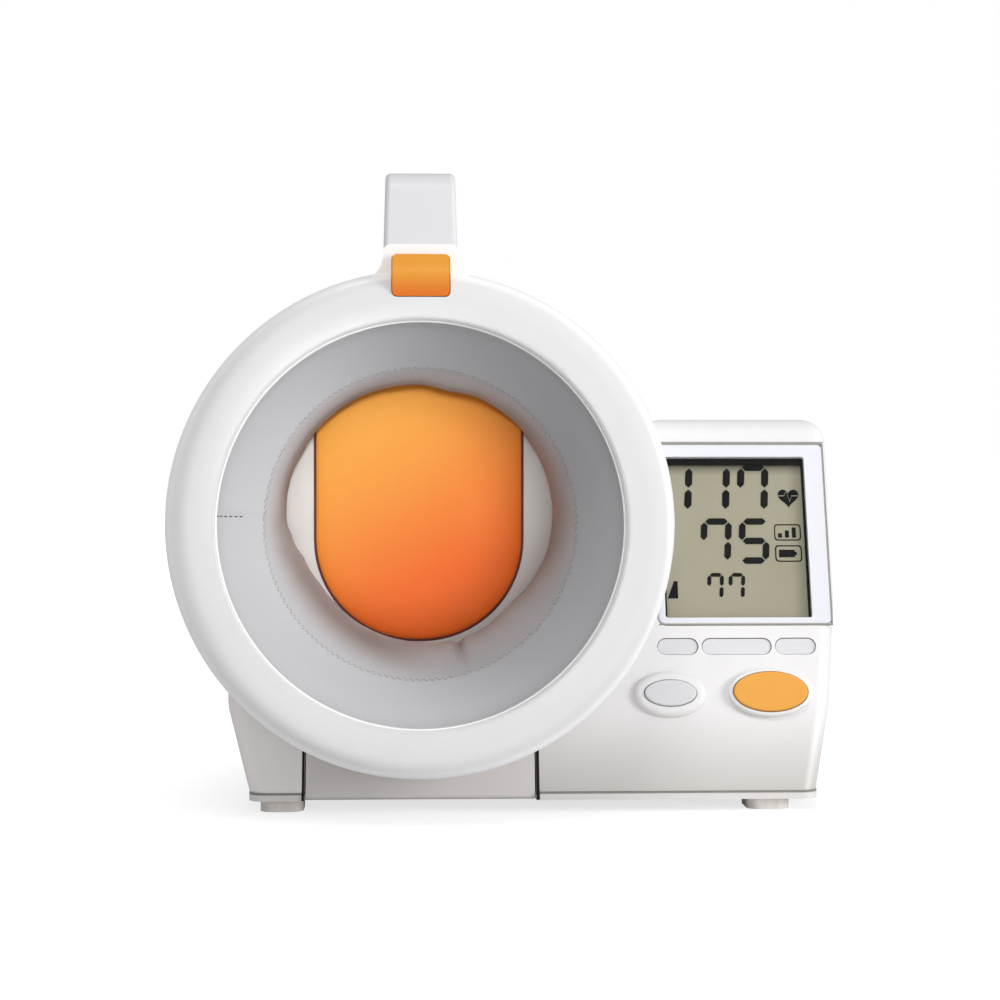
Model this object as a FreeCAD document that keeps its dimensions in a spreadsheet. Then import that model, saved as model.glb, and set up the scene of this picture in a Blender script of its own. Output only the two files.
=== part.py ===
import FreeCAD, Part
import math
import os
import re
import Sketcher

# Arm-in blood pressure monitor, closed for storage. Millimetres, +Z up, the front faces -Y.
# The origin is the middle of the bounding box, on the surface that the feet stand on.
# Three parent frames carry everything: "base" at floor level under the ring's centre, "cuff" on the
# tube's axis, both with y = 0 at the ring's front face, and "panel" in the reclined key panel.

SIZES = {
    # cuff unit: ring, tube and fabric, as radii about the tube's axis and depths behind the ring's face
    "ring_outer_radius": 90, "ring_face_width": 18.4, "ring_depth": 34, "ring_front_round": 13,
    "ring_lip_round": 2.5, "ring_rim_depth": 14, "ring_taper": 3, "ring_floor_gap": 17, "ring_skirt_wall": 6,
    "tube_taper": 2.5, "tube_wall": 3, "tube_end_depth": 145, "rear_ring_thickness": 4.5,
    "funnel_flare": 16.6, "funnel_depth": 27, "liner_thickness": 3, "core_thickness": 2.5,
    "bladder_slack": 5.6, "same_body_gap": 0.2, "moving_gap": 0.3,
    # saddle, handle and latch on top of the tube
    "saddle_width": 26.6, "saddle_flare": 9, "saddle_rise": 8.8, "saddle_lip": 3.8,
    "button_width": 20, "button_tall": 15, "button_depth": 11, "button_travel": 1.8, "button_round": 1.7,
    "handle_width": 27.8, "handle_top_width": 25.3, "handle_top_height": 128, "handle_thickness": 11,
    "handle_front_depth": 30, "handle_rear_depth": 136, "handle_lean": 7, "handle_rear_round": 16,
    "handle_front_round": 9, "handle_edge_round": 2, "handle_foot": 8, "handle_rear_lean": 6, "rail_rise": 8,
    "grip_thickness": 3, "grip_side_margin": 2.5, "grip_front_margin": 6, "grip_rear_margin": 14,
    "bar_width": 8, "bar_height": 3.4, "latch_rise": 4.5, "latch_pin_radius": 1.5, "catch_gap": 1.2,
    # neck and tilt hinge
    "neck_width": 84.6, "neck_gap": 0.5, "neck_wall": 3, "neck_low_height": 4.8,
    "tilt_axis_depth": 132, "tilt_axis_height": 18, "tilt_shaft_radius": 4, "knuckle_radius": 9,
    "shaft_clearance": 0.08, "shaft_grip": 12,
    # base
    "foot_height": 4.5, "floor_thickness": 3, "base_setback": 45, "base_depth": 140, "case_wall": 3,
    "recline": 18.5, "cradle_clearance": 3.5, "cradle_drop": 6, "side_undercut": 10.9,
    "waist_height": 36, "waist_inset": 4.4, "head_height": 146, "head_clearance": 1, "head_thickness": 30,
    "back_height": 58, "back_shoulder_depth": 150, "left_reach": 72, "left_undercut": 8.7, "left_height": 51,
    "shoulder_rise": 40, "front_corner_round": 6,
    # display, in the panel's frame: across from the ring's centre, up along the slope, and in from the face
    "bezel_margin": 2, "bezel_inset": 1.7, "bezel_low": 66.7, "bezel_high": 139.3, "bezel_thickness": 2.2,
    "bezel_gap": 0.5, "bezel_corner": 3, "bezel_rim": 2.7, "bezel_side_rim": 7.8, "bezel_top_rim": 5.4,
    "bezel_edge_round": 1,
    "window_thickness": 1.4, "window_sink": 0.7, "lcd_margin": 2, "lcd_thickness": 2.6,
    "holder_thickness": 3.6, "holder_rim": 5, "board_low": 12, "board_thickness": 1.6,
    "sensor_across": 96, "sensor_up": 60, "sensor_width": 11, "sensor_thickness": 6,
    "buzzer_across": 130, "buzzer_up": 70, "buzzer_radius": 7, "buzzer_thickness": 5,
    "membrane_low": 24, "membrane_thickness": 1,
    # keys
    "pill_row": 58.2, "pill_tall": 6, "pill_short": 15, "pill_long": 26, "pill_across": 97.4,
    "pill_pitch": 22.4, "pill_side_room": 9.1, "pill_sink": 0.6, "key_gap": 0.3, "key_depth": 6.6,
    "key_flange": 0.8, "key_edge_round": 0.7,
    "power_across": 93.7, "power_up": 39.6, "power_wide": 19.5, "power_tall": 10,
    "start_across": 131.4, "start_up": 40, "start_wide": 28, "start_tall": 15.2,
    "power_collar": 3.9, "start_collar": 1.7, "collar_stand": 2.6, "button_stand": 3.6, "press_travel": 1.5,
    # elbow rest
    "rest_axis_depth": 163, "rest_axis_height": 14, "rest_pin_radius": 3, "rest_stem_width": 83.4,
    "rest_width": 124, "rest_shoulder_height": 52, "rest_top_height": 186, "rest_corner": 28,
    "rest_front": 7, "rest_frame_thickness": 6, "rest_rear_low": 5, "rest_rear_high": 12.6,
    "pad_width": 87.4, "pad_low_height": 54.7, "pad_thickness": 3, "pad_corner": 42.5,
    # works inside the base
    "pump_radius": 13, "pump_length": 40, "valve_radius": 6, "valve_length": 18, "hose_radius": 3,
    "cell_radius": 7.1, "cell_length": 49.5, "cell_pitch": 15, "cell_gap": 0.4, "holder_wall": 1.2,
    "holder_lift": 6.5, "tray_lean": 0.5, "contact_thickness": 0.5, "contact_side": 8,
    "inlet_radius": 2.75, "inlet_wall": 1.6, "inlet_length": 11, "inlet_bore_length": 9,
    "inlet_across": 74, "inlet_height": 22, "vent_low": 31, "vent_tall": 12, "vent_width": 2, "vent_pitch": 4,
    "door_thickness": 2.4, "door_tall": 32, "door_low": 12.5,
    "screw_radius": 1.5, "screw_head_radius": 3, "screw_head": 1.8, "screw_length": 10,
    "boss_radius": 4, "boss_bite": 1.5, "foot_width": 16, "foot_length": 20, "foot_inset": 4,
}

# Sizes that follow from others, so that pieces which seat together move together.
TIED = {
    "tube_radius": "ring_outer_radius - ring_skirt_wall",
    "ring_mouth_radius": "ring_outer_radius - ring_face_width",
    "core_outer_radius": "tube_radius - tube_taper - tube_wall - same_body_gap",
    "throat_radius": "ring_mouth_radius - funnel_flare",
    "ring_axis_height": "ring_outer_radius + ring_floor_gap",
    "saddle_top_height": "ring_outer_radius + saddle_rise",
    "button_high_height": "saddle_top_height - saddle_lip",
    "button_low_height": "button_high_height - button_tall",
    "rail_height": "tube_radius + rail_rise",
    "latch_pivot_height": "tube_radius + latch_rise",
    "body_reach": "pill_across + 2 * pill_pitch + pill_short / 2 + pill_side_room",
    "body_foot_reach": "body_reach - side_undercut",
    "waist_reach": "body_reach - waist_inset",
    "left_foot_reach": "left_reach - left_undercut",
    "head_left": "tube_radius + cradle_clearance + head_clearance",
    "bezel_left": "head_left + bezel_margin",
    "bezel_right": "body_reach - bezel_inset",
    "window_left": "bezel_left + bezel_rim",
    "window_right": "bezel_right - bezel_side_rim",
    "window_low": "bezel_low + bezel_rim",
    "window_high": "bezel_high - bezel_top_rim",
    "holder_length": "cell_length + 2 * (cell_gap + contact_thickness + holder_wall)",
    "tray_left": "body_foot_reach - case_wall + tray_lean - holder_length",
    "door_left": "tray_left + holder_wall + door_thickness / 2",
    "door_width": "holder_length - 2 * holder_wall - door_thickness / 2",
}

doc = FreeCAD.newDocument("arm_in_monitor")
sheet = doc.addObject("Spreadsheet::Sheet", "Sizes")
for row, (alias, size) in enumerate(SIZES.items(), start=1):
    sheet.set(f"A{row}", alias)
    sheet.set(f"B{row}", str(size))
    sheet.setAlias(f"B{row}", alias)
doc.recompute()

WORD = re.compile(r"[a-z_]+[a-z]")
nodes = {}


def linked(formula):
    """The formula with tied sizes written out and each size's name pointing at its cell of the sheet."""
    text = str(formula)
    while any(word in TIED for word in WORD.findall(text)):
        text = WORD.sub(lambda w: f"({TIED[w.group()]})" if w.group() in TIED else w.group(), text)
    return WORD.sub(lambda w: f"Sizes.{w.group()}" if w.group() in SIZES else w.group(), text)


def value(formula):
    return float(sheet.evalExpression(linked(formula)))


def bind(thing, prop, formula):
    thing.setExpression(prop, linked(formula))


# Places worked out from the sizes, as formulas.
RING_X = "(ring_outer_radius - body_reach) / 2"
FRONT_Y = "(0 - base_setback - base_depth) / 2"
SPLIT = "(foot_height + floor_thickness)"
CRADLE = "(tube_radius + cradle_clearance)"
BLOCK_SIDE = "(neck_width / 2 + neck_gap)"
BACK = "(base_setback + base_depth)"
TUBE_FRONT = "(ring_rim_depth + same_body_gap)"
LATCH_DEPTH = "(handle_rear_depth + 7)"
NOSE = "(rest_top_height + catch_gap - ring_axis_height)"
REACH_LOW = f"max(latch_pivot_height - 1; {NOSE} + 1.5)"
REACH_HIGH = f"({REACH_LOW} + 4)"
HEAD_FRONT = "(base_setback + (head_height - foot_height) * tan(recline))"
FACE_GAP = "0.05"
NEAR = 0.01

FRAMES = {
    "base": (RING_X, FRONT_Y, "0"),
    "cuff": (RING_X, FRONT_Y, "ring_axis_height"),
    "panel": (RING_X, f"{FRONT_Y} + base_setback", "foot_height"),
}


def place(thing, frame, at=("0", "0", "0")):
    """Puts a sub-part in its frame, moved by at. The panel's frame leans back by the recline."""
    x, y, z = FRAMES[frame]
    if frame == "panel":
        thing.Placement = FreeCAD.Placement(FreeCAD.Vector(), FreeCAD.Rotation(FreeCAD.Vector(1, 0, 0), 70))
        bind(thing, "Placement.Rotation.Angle", "90 - recline")
    bind(thing, "Placement.Base.x", f"{x} + {at[0]}")
    bind(thing, "Placement.Base.y", f"{y} + {at[1]}")
    bind(thing, "Placement.Base.z", f"{z} + {at[2]}")


def keep(name, thing):
    """Names a finished sub-part and lists it for export."""
    thing.Label = name
    nodes[name] = thing
    return thing


# ---------------------------------------------------------------- sketches and features

PLANES = {"XY": "XY_Plane", "XZ": "XZ_Plane", "YZ": "YZ_Plane"}


def new_body(name, frame, at=("0", "0", "0")):
    body = doc.addObject("PartDesign::Body", name)
    body.Label = f"{name}_form"
    place(body, frame, at)
    return body


def new_sketch(body, plane, offset="0"):
    """An empty sketch on one of the body's own planes, offset along the plane's normal."""
    sketch = body.newObject("Sketcher::SketchObject", "Sketch")
    role = PLANES[plane]
    sketch.AttachmentSupport = [(next(f for f in body.Origin.OriginFeatures if f.Role == role), "")]
    sketch.MapMode = "FlatFace"
    bind(sketch, "AttachmentOffset.Base.z", offset)
    return sketch


def fix_point(sketch, geometry, end, x, y):
    for kind, formula in (("DistanceX", x), ("DistanceY", y)):
        index = sketch.addConstraint(Sketcher.Constraint(kind, -1, 1, geometry, end, value(formula)))
        bind(sketch, f"Constraints[{index}]", formula)


def draw(sketch, corners):
    """Draws a closed outline. A corner is (x, y) or, rounded, (x, y, radius), all formulas."""
    points = [FreeCAD.Vector(value(c[0]), value(c[1]), 0) for c in corners]
    count = len(points)
    radii = [value(c[2]) if len(c) > 2 else 0 for c in corners]
    ahead = [(points[(i + 1) % count] - points[i]).normalize() for i in range(count)]
    enter, leave, turn = [], [], []
    for i in range(count):
        before, after = ahead[i - 1], ahead[i]
        angle = before.getAngle(after)
        run = radii[i] * math.tan(angle / 2)
        enter.append(points[i] - before * run)
        leave.append(points[i] + after * run)
        turn.append(before.x * after.y - before.y * after.x)
    lines = [sketch.addGeometry(Part.LineSegment(leave[i], enter[(i + 1) % count])) for i in range(count)]
    for i in range(count):
        previous = lines[i - 1]
        if not radii[i]:
            sketch.addConstraint(Sketcher.Constraint("Coincident", previous, 2, lines[i], 1))
            fix_point(sketch, lines[i], 1, corners[i][0], corners[i][1])
            continue
        left = turn[i] > 0
        across = FreeCAD.Vector(-ahead[i - 1].y, ahead[i - 1].x, 0) * (radii[i] if left else -radii[i])
        centre = enter[i] + across
        first, last = (enter[i], leave[i]) if left else (leave[i], enter[i])
        start = math.atan2(first.y - centre.y, first.x - centre.x)
        stop = math.atan2(last.y - centre.y, last.x - centre.x)
        circle = Part.Circle(centre, FreeCAD.Vector(0, 0, 1), radii[i])
        arc = sketch.addGeometry(Part.ArcOfCircle(circle, start, stop))
        corner = sketch.addGeometry(Part.Point(points[i]), True)
        sketch.addConstraint(Sketcher.Constraint("Tangent", previous, 2, arc, 1 if left else 2))
        sketch.addConstraint(Sketcher.Constraint("Tangent", arc, 2 if left else 1, lines[i], 1))
        index = sketch.addConstraint(Sketcher.Constraint("Radius", arc, radii[i]))
        bind(sketch, f"Constraints[{index}]", corners[i][2])
        sketch.addConstraint(Sketcher.Constraint("PointOnObject", corner, 1, previous))
        sketch.addConstraint(Sketcher.Constraint("PointOnObject", corner, 1, lines[i]))
        fix_point(sketch, corner, 1, corners[i][0], corners[i][1])
    return sketch


def rectangle(sketch, left, right, low, high, rounding=None):
    tail = (rounding,) if rounding else ()
    return draw(sketch, [(left, low) + tail, (right, low) + tail, (right, high) + tail, (left, high) + tail])


def round_hole(sketch, x, y, radius):
    at = FreeCAD.Vector(value(x), value(y), 0)
    ring = sketch.addGeometry(Part.Circle(at, FreeCAD.Vector(0, 0, 1), value(radius)))
    fix_point(sketch, ring, 3, x, y)
    index = sketch.addConstraint(Sketcher.Constraint("Radius", ring, value(radius)))
    bind(sketch, f"Constraints[{index}]", radius)
    return sketch


def oval(sketch, x, y, wide, tall):
    """An ellipse of the given full width and height, its long axis level."""
    at = FreeCAD.Vector(value(x), value(y), 0)
    shape = sketch.addGeometry(Part.Ellipse(at, value(wide) / 2, value(tall) / 2))
    sketch.exposeInternalGeometry(shape)
    long_axis, short_axis = shape + 1, shape + 2
    fix_point(sketch, shape, 3, x, y)
    sketch.addConstraint(Sketcher.Constraint("Horizontal", long_axis))
    for axis, formula in ((long_axis, wide), (short_axis, tall)):
        index = sketch.addConstraint(Sketcher.Constraint("Distance", axis, value(formula)))
        bind(sketch, f"Constraints[{index}]", formula)
    return sketch


def extrude(body, sketch, length, kind="Pad", both=False, back=False, through=False):
    """Pads or pockets a sketch, both sides of its plane or along its normal, or against it with back."""
    feature = body.newObject(f"PartDesign::{kind}", kind)
    feature.Profile = sketch
    if both:
        feature.SideType = "Symmetric"
    feature.Reversed = back if kind == "Pad" else not back
    if through:
        feature.Type = "ThroughAll"
    else:
        bind(feature, "Length", length)
    return feature


def turned(body, sketch, axis, kind="Revolution", angle=360, back=False):
    feature = body.newObject(f"PartDesign::{kind}", kind)
    feature.Profile = sketch
    feature.ReferenceAxis = (sketch, [axis])
    feature.Angle = angle
    feature.Reversed = back
    return feature


def rounded_edges(body, radius, wanted, kind="Fillet"):
    """Fillets the edges of the body's tip that wanted(edge) picks."""
    doc.recompute()
    tip = body.Tip
    chosen = [f"Edge{i}" for i, edge in enumerate(tip.Shape.Edges, start=1) if wanted(edge)]
    feature = body.newObject(f"PartDesign::{kind}", kind)
    feature.Base = (tip, chosen)
    bind(feature, "Radius" if kind == "Fillet" else "Size", radius)
    return feature


def cut(name, frame_object, *tools):
    """The first object less the others."""
    tool = tools[0]
    if len(tools) > 1:
        tool = doc.addObject("Part::MultiFuse", f"{name}_tools")
        tool.Shapes = list(tools)
    result = doc.addObject("Part::Cut", name)
    result.Base = frame_object
    result.Tool = tool
    return result


def join(name, *things):
    result = doc.addObject("Part::MultiFuse", name)
    result.Shapes = list(things)
    result.Refine = True
    return result


def cylinder(name, frame, axis, at, radius, length):
    """A round bar of the given length from at along x, y or z."""
    bar = doc.addObject("Part::Cylinder", name)
    turns = {"x": ((0, 1, 0), 90), "y": ((1, 0, 0), -90), "z": ((0, 0, 1), 0)}
    direction, angle = turns[axis]
    bar.Placement = FreeCAD.Placement(FreeCAD.Vector(), FreeCAD.Rotation(FreeCAD.Vector(*direction), angle))
    x, y, z = FRAMES[frame]
    bind(bar, "Placement.Base.x", f"{x} + {at[0]}")
    bind(bar, "Placement.Base.y", f"{y} + {at[1]}")
    bind(bar, "Placement.Base.z", f"{z} + {at[2]}")
    bind(bar, "Radius", radius)
    bind(bar, "Height", length)
    return bar


def box(name, frame, low, size):
    block = doc.addObject("Part::Box", name)
    place(block, frame, low)
    for prop, formula in zip(("Length", "Width", "Height"), size):
        bind(block, prop, formula)
    return block


def slab(name, plane, outline, start, length, frame):
    """A body padded from one outline, start away from its plane."""
    body = new_body(name, frame)
    extrude(body, draw(new_sketch(body, plane, start), outline), length)
    return body


# ---------------------------------------------------------------- cuff unit

def front_ring():
    """The rim: a revolved section with a soft outer shoulder, the saddle, and the button's recess."""
    body = new_body("front_ring", "cuff")
    section = [
        ("0", "ring_mouth_radius", "ring_lip_round"),
        ("0", "ring_outer_radius", "min(ring_front_round; ring_face_width * 0.72)"),
        ("ring_front_round + 4", "ring_outer_radius"),
        ("ring_depth", "ring_outer_radius - ring_taper", "1.5"),
        ("ring_depth", "tube_radius + same_body_gap"),
        ("ring_rim_depth", "tube_radius + same_body_gap"),
        ("ring_rim_depth", "ring_mouth_radius"),
    ]
    turned(body, draw(new_sketch(body, "YZ"), section), "H_Axis")
    low = "tube_radius + same_body_gap"
    edge = "(saddle_width / 2)"
    saddle = [
        (f"0 - {edge} - saddle_flare", low),
        (f"{edge} + saddle_flare", low),
        (edge, "ring_outer_radius", "saddle_flare"),
        (edge, "saddle_top_height", "3"),
        (f"0 - {edge}", "saddle_top_height", "3"),
        (f"0 - {edge}", "ring_outer_radius", "saddle_flare"),
    ]
    profile = draw(new_sketch(body, "XZ", "0 - ring_front_round * 0.62"), saddle)
    extrude(body, profile, "ring_depth - ring_front_round * 0.62", back=True)
    half = "(button_width / 2 + moving_gap)"
    recess = new_sketch(body, "XZ", "1")
    rectangle(recess, f"0 - {half}", half, "button_low_height - moving_gap",
              "button_high_height + moving_gap", "button_round + moving_gap")
    extrude(body, recess, "1 + button_depth + button_travel + moving_gap", "Pocket", back=True)
    bar = new_sketch(body, "XZ", "0 - button_depth")
    rectangle(bar, "0 - bar_width / 2 - moving_gap", "bar_width / 2 + moving_gap",
              "latch_pivot_height - bar_height - moving_gap", "latch_pivot_height + moving_gap")
    extrude(body, bar, "ring_depth", "Pocket", back=True)
    keep("front_ring", body)


def half_tube(name, upper):
    """One half of the tube's housing, with a rib ring inside at each end for the core to seat in."""
    body = new_body(name, "cuff")
    front, rear = "(tube_radius - same_body_gap)", "(tube_radius - tube_taper)"
    section = [
        (front, TUBE_FRONT), (rear, "tube_end_depth"),
        (f"{rear} - tube_wall - core_thickness", "tube_end_depth"),
        (f"{rear} - tube_wall - core_thickness", "tube_end_depth - tube_wall"),
        (f"{rear} - tube_wall", "tube_end_depth - tube_wall"), (f"{front} - tube_wall", TUBE_FRONT),
    ]
    turned(body, draw(new_sketch(body, "XY"), section), "V_Axis", angle=180, back=upper)
    return body


def tube_upper_housing():
    keep("tube_upper_housing", half_tube("tube_upper_housing", True))


def tube_lower_housing():
    """The lower half with the neck: a hollow block between the base's cheeks, down to the hinge knuckle."""
    body = half_tube("tube_lower_housing", False)
    lift = "(0 - ring_axis_height)"
    roof = "(0 - tube_radius * 0.62)"
    foot = f"({lift} + tilt_axis_height)"
    side = [
        ("base_setback", f"{lift} + neck_low_height", "1.5"),
        ("base_setback + neck_wall", f"{lift} + neck_low_height"),
        ("base_setback + neck_wall", f"{lift} + {SPLIT} + 1"),
        ("tilt_axis_depth", f"{foot} - knuckle_radius"),
        ("tilt_axis_depth + knuckle_radius", f"{foot} - knuckle_radius", "knuckle_radius - 0.1"),
        ("tilt_axis_depth + knuckle_radius", roof),
        ("base_setback + 14", roof),
    ]
    extrude(body, draw(new_sketch(body, "YZ"), side), "neck_width", both=True)
    hollow = [
        ("base_setback + neck_wall", f"{lift} + neck_low_height - 2"),
        ("tilt_axis_depth - knuckle_radius - neck_wall", f"{lift} + neck_low_height - 2"),
        ("tilt_axis_depth - knuckle_radius - neck_wall", roof),
        ("base_setback + neck_wall + 14", roof),
    ]
    extrude(body, draw(new_sketch(body, "YZ"), hollow), "neck_width - 2 * neck_wall", "Pocket", both=True)
    bore = round_hole(new_sketch(body, "XZ", "0 - ring_rim_depth"), "0", "0",
                      "tube_radius - tube_taper - tube_wall")
    extrude(body, bore, "tube_end_depth - tube_wall - ring_rim_depth", "Pocket", back=True)
    shaft = round_hole(new_sketch(body, "YZ"), "tilt_axis_depth", foot, "tilt_shaft_radius + shaft_clearance")
    extrude(body, shaft, "neck_width + 2", "Pocket", both=True)
    keep("tube_lower_housing", body)


def ring_of_revolution(name, section):
    body = new_body(name, "cuff")
    turned(body, draw(new_sketch(body, "YZ"), section), "H_Axis")
    return keep(name, body)


def cuff_rings():
    """Rear ring, rigid core, air bladder and fabric liner, all turned about the tube's axis."""
    end, rear = "tube_end_depth + same_body_gap", "(tube_radius - tube_taper)"
    ring_of_revolution("rear_ring", [
        (end, "throat_radius + liner_thickness"),
        (f"{end} + rear_ring_thickness", "throat_radius + liner_thickness", "2"),
        (f"{end} + rear_ring_thickness", rear, "4"),
        (end, rear),
    ])
    outer = "core_outer_radius"
    ring_of_revolution("cuff_core", [
        (f"{TUBE_FRONT} + 2", f"{outer} - core_thickness"),
        ("tube_end_depth - tube_wall - same_body_gap", f"{outer} - core_thickness"),
        ("tube_end_depth - tube_wall - same_body_gap", outer),
        (f"{TUBE_FRONT} + 2", outer),
    ])
    inner, full = "(throat_radius + liner_thickness + same_body_gap)", "(core_outer_radius - core_thickness)"
    ring_of_revolution("air_bladder", [
        ("funnel_depth + 4", inner), ("tube_end_depth - 8", inner),
        ("tube_end_depth - 8", f"{full} - bladder_slack"), ("funnel_depth + 4", f"{full} - bladder_slack"),
    ])
    mouth = "(ring_mouth_radius - same_body_gap)"
    ring_of_revolution("cuff_liner", [
        ("ring_lip_round", f"{mouth} - liner_thickness * 0.5"),
        ("funnel_depth", "throat_radius", "12"),
        (end, "throat_radius"),
        (end, "throat_radius + liner_thickness"),
        ("funnel_depth", "throat_radius + liner_thickness", "9"),
        ("ring_rim_depth - 2", mouth),
        ("ring_lip_round", mouth),
    ])


def handle():
    """The carrying handle: a strap over a finger gap, on a rail that holds the latch bar."""
    front, rear = "handle_front_depth", "handle_rear_depth"
    seat, rise = "(tube_radius - 6)", "(handle_top_height - rail_height)"
    body = new_body("handle_frame", "cuff")
    outer = [
        ("ring_depth + same_body_gap", seat),
        (f"{rear} + handle_foot", seat),
        (f"{rear} + handle_foot", "rail_height + 2", "4"),
        (f"{rear} - handle_rear_lean", "handle_top_height", f"min(handle_rear_round; {rise} / 2.2)"),
        (f"{front} + handle_lean", "handle_top_height", f"min(handle_front_round; {rise} / 2.2)"),
        (front, "saddle_top_height + same_body_gap"),
        ("ring_depth + same_body_gap", "saddle_top_height + same_body_gap"),
    ]
    extrude(body, draw(new_sketch(body, "YZ"), outer), "handle_width", both=True)
    under = "(handle_top_height - handle_thickness)"
    corner = f"(({rise} - handle_thickness) / 3.6)"
    gap = [
        (f"{front} + handle_thickness", "rail_height", corner),
        (f"{rear} - 4", "rail_height", corner),
        (f"{rear} - handle_rear_lean - handle_thickness", under, corner),
        (f"{front} + handle_lean + handle_thickness", under, corner),
    ]
    extrude(body, draw(new_sketch(body, "YZ"), gap), "handle_width + 2", "Pocket", both=True)
    tunnel = new_sketch(body, "XZ", "0 - ring_depth")
    rectangle(tunnel, "0 - bar_width / 2 - moving_gap", "bar_width / 2 + moving_gap",
              "latch_pivot_height - bar_height - moving_gap", "latch_pivot_height + moving_gap")
    extrude(body, tunnel, "handle_rear_depth - ring_depth + 2", "Pocket", back=True)
    slot = new_sketch(body, "XZ", f"0 - {rear}")
    rectangle(slot, "0 - bar_width / 2 - moving_gap", "bar_width / 2 + moving_gap", "tube_radius - 7",
              f"max(rail_height + 12; {REACH_HIGH} + 6)")
    extrude(body, slot, "20", "Pocket", back=True)
    pin = round_hole(new_sketch(body, "YZ"), LATCH_DEPTH, "latch_pivot_height", "latch_pin_radius")
    extrude(body, pin, "handle_width - 8", "Pocket", both=True)
    tube = round_hole(new_sketch(body, "XZ", "0 - ring_rim_depth"), "0", "0", "tube_radius + same_body_gap")
    extrude(body, tube, "tube_end_depth", "Pocket", back=True)
    half, narrow, top = "(handle_width / 2)", "(handle_top_width / 2)", "handle_top_height"
    sides = new_sketch(body, "XZ", "0 - ring_rim_depth")
    rectangle(sides, f"0 - {half} - 5", f"{half} + 5", f"{seat} - 5", f"{top} + 5")
    draw(sides, [(f"0 - {half}", f"{seat} - 1"), (half, f"{seat} - 1"), (half, seat), (narrow, top),
                 (narrow, f"{top} + 1"), (f"0 - {narrow}", f"{top} + 1"), (f"0 - {narrow}", top),
                 (f"0 - {half}", seat)])
    extrude(body, sides, "handle_rear_depth + 20", "Pocket", back=True)
    rounded_edges(body, "handle_edge_round", lambda e: e.BoundBox.XMin * e.BoundBox.XMax > 0
                  and e.BoundBox.ZMin > value(f"rail_height + {corner}") + NEAR
                  and min(abs(e.BoundBox.XMin), abs(e.BoundBox.XMax)) > value(narrow) - NEAR)
    keep("handle_frame", body)


def handle_grip():
    """A grip strip let against the strap's underside, inside the finger gap."""
    grip = new_body("handle_grip", "cuff")
    under = f"(handle_top_height - handle_thickness - {FACE_GAP})"
    start = "(handle_front_depth + handle_lean + handle_thickness + grip_front_margin)"
    stop = "(handle_rear_depth - handle_thickness - grip_rear_margin)"
    strip = [(start, under), (stop, under), (stop, f"{under} - grip_thickness", "1.4"),
             (start, f"{under} - grip_thickness", "1.4")]
    extrude(grip, draw(new_sketch(grip, "YZ"), strip), "handle_width - 2 * grip_side_margin", both=True)
    keep("handle_grip", grip)


def latch():
    """The open button, the bar that it pushes, and the hook that the bar lifts over the rest's catch."""
    body = new_body("open_button", "cuff")
    half = "(button_width / 2)"
    face = rectangle(new_sketch(body, "XZ"), f"0 - {half}", half, "button_low_height", "button_high_height",
                     "button_round")
    extrude(body, face, "button_depth", back=True)
    section = [
        ("0.3", "button_low_height - 1"), ("0.3", "button_high_height - 6", "7"),
        ("button_depth / 2", "button_high_height + 0.1"), ("button_depth + 1", "button_high_height + 0.1"),
        ("button_depth + 1", "button_low_height - 1"),
    ]
    trim = new_sketch(body, "YZ")
    rectangle(trim, "0 - 5", "button_depth + 5", "button_low_height - 5", "button_high_height + 5")
    draw(trim, section)
    extrude(body, trim, "button_width + 2", "Pocket", both=True)
    keep("open_button", body)
    top, low = "latch_pivot_height", "(latch_pivot_height - bar_height)"
    bar = slab("latch_bar", "YZ", [
        ("button_depth + 0.1", low), (f"{LATCH_DEPTH} - 5.4", low), (f"{LATCH_DEPTH} - 5.4", top),
        ("button_depth + 0.1", top)], "0 - bar_width / 2", "bar_width", "cuff")
    keep("latch_bar", bar)
    pivot = "latch_pivot_height"
    hook = new_body("latch_hook", "cuff")
    tip = "(rest_axis_depth - rest_front + rest_frame_thickness / 2)"
    post = rectangle(new_sketch(hook, "YZ"), f"{LATCH_DEPTH} - 3", f"{LATCH_DEPTH} + 3.4", f"{pivot} - 3.4",
                     REACH_HIGH, "2.9")
    extrude(hook, post, "bar_width", both=True)
    arm = [
        (LATCH_DEPTH, f"{REACH_LOW} - 2.4"), (f"{tip} - 2", REACH_LOW), (f"{tip} - 2", f"{NOSE} + 1"),
        (tip, NOSE), (f"{tip} + 2", NOSE), (f"{tip} + 2", REACH_HIGH, "2"), (LATCH_DEPTH, REACH_HIGH),
    ]
    extrude(hook, draw(new_sketch(hook, "YZ"), arm), "bar_width", both=True)
    bore = round_hole(new_sketch(hook, "YZ"), LATCH_DEPTH, pivot, "latch_pin_radius + shaft_clearance")
    extrude(hook, bore, "bar_width + 2", "Pocket", both=True)
    keep("latch_hook", hook)
    pin = cylinder("latch_pin", "cuff", "x", ("0 - handle_width / 2 + 4", LATCH_DEPTH, pivot),
                   "latch_pin_radius", "handle_width - 8")
    keep("latch_pin", pin)


# ---------------------------------------------------------------- base

def two_outline_form(name, side, front, left, right):
    """A block with one outline seen from the side and another seen from the front."""
    body = new_body(name, "base")
    extrude(body, draw(new_sketch(body, "YZ", left), side), f"({right}) - ({left})")
    trim = new_sketch(body, "XZ", "10")
    rectangle(trim, f"{left} - 20", f"{right} + 20", "0 - 20", "head_height + 20")
    draw(trim, front)
    extrude(body, trim, "0", "Pocket", back=True, through=True)
    return body


def front_at(height):
    return f"(base_setback + ({height} - foot_height) * tan(recline))"


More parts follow.
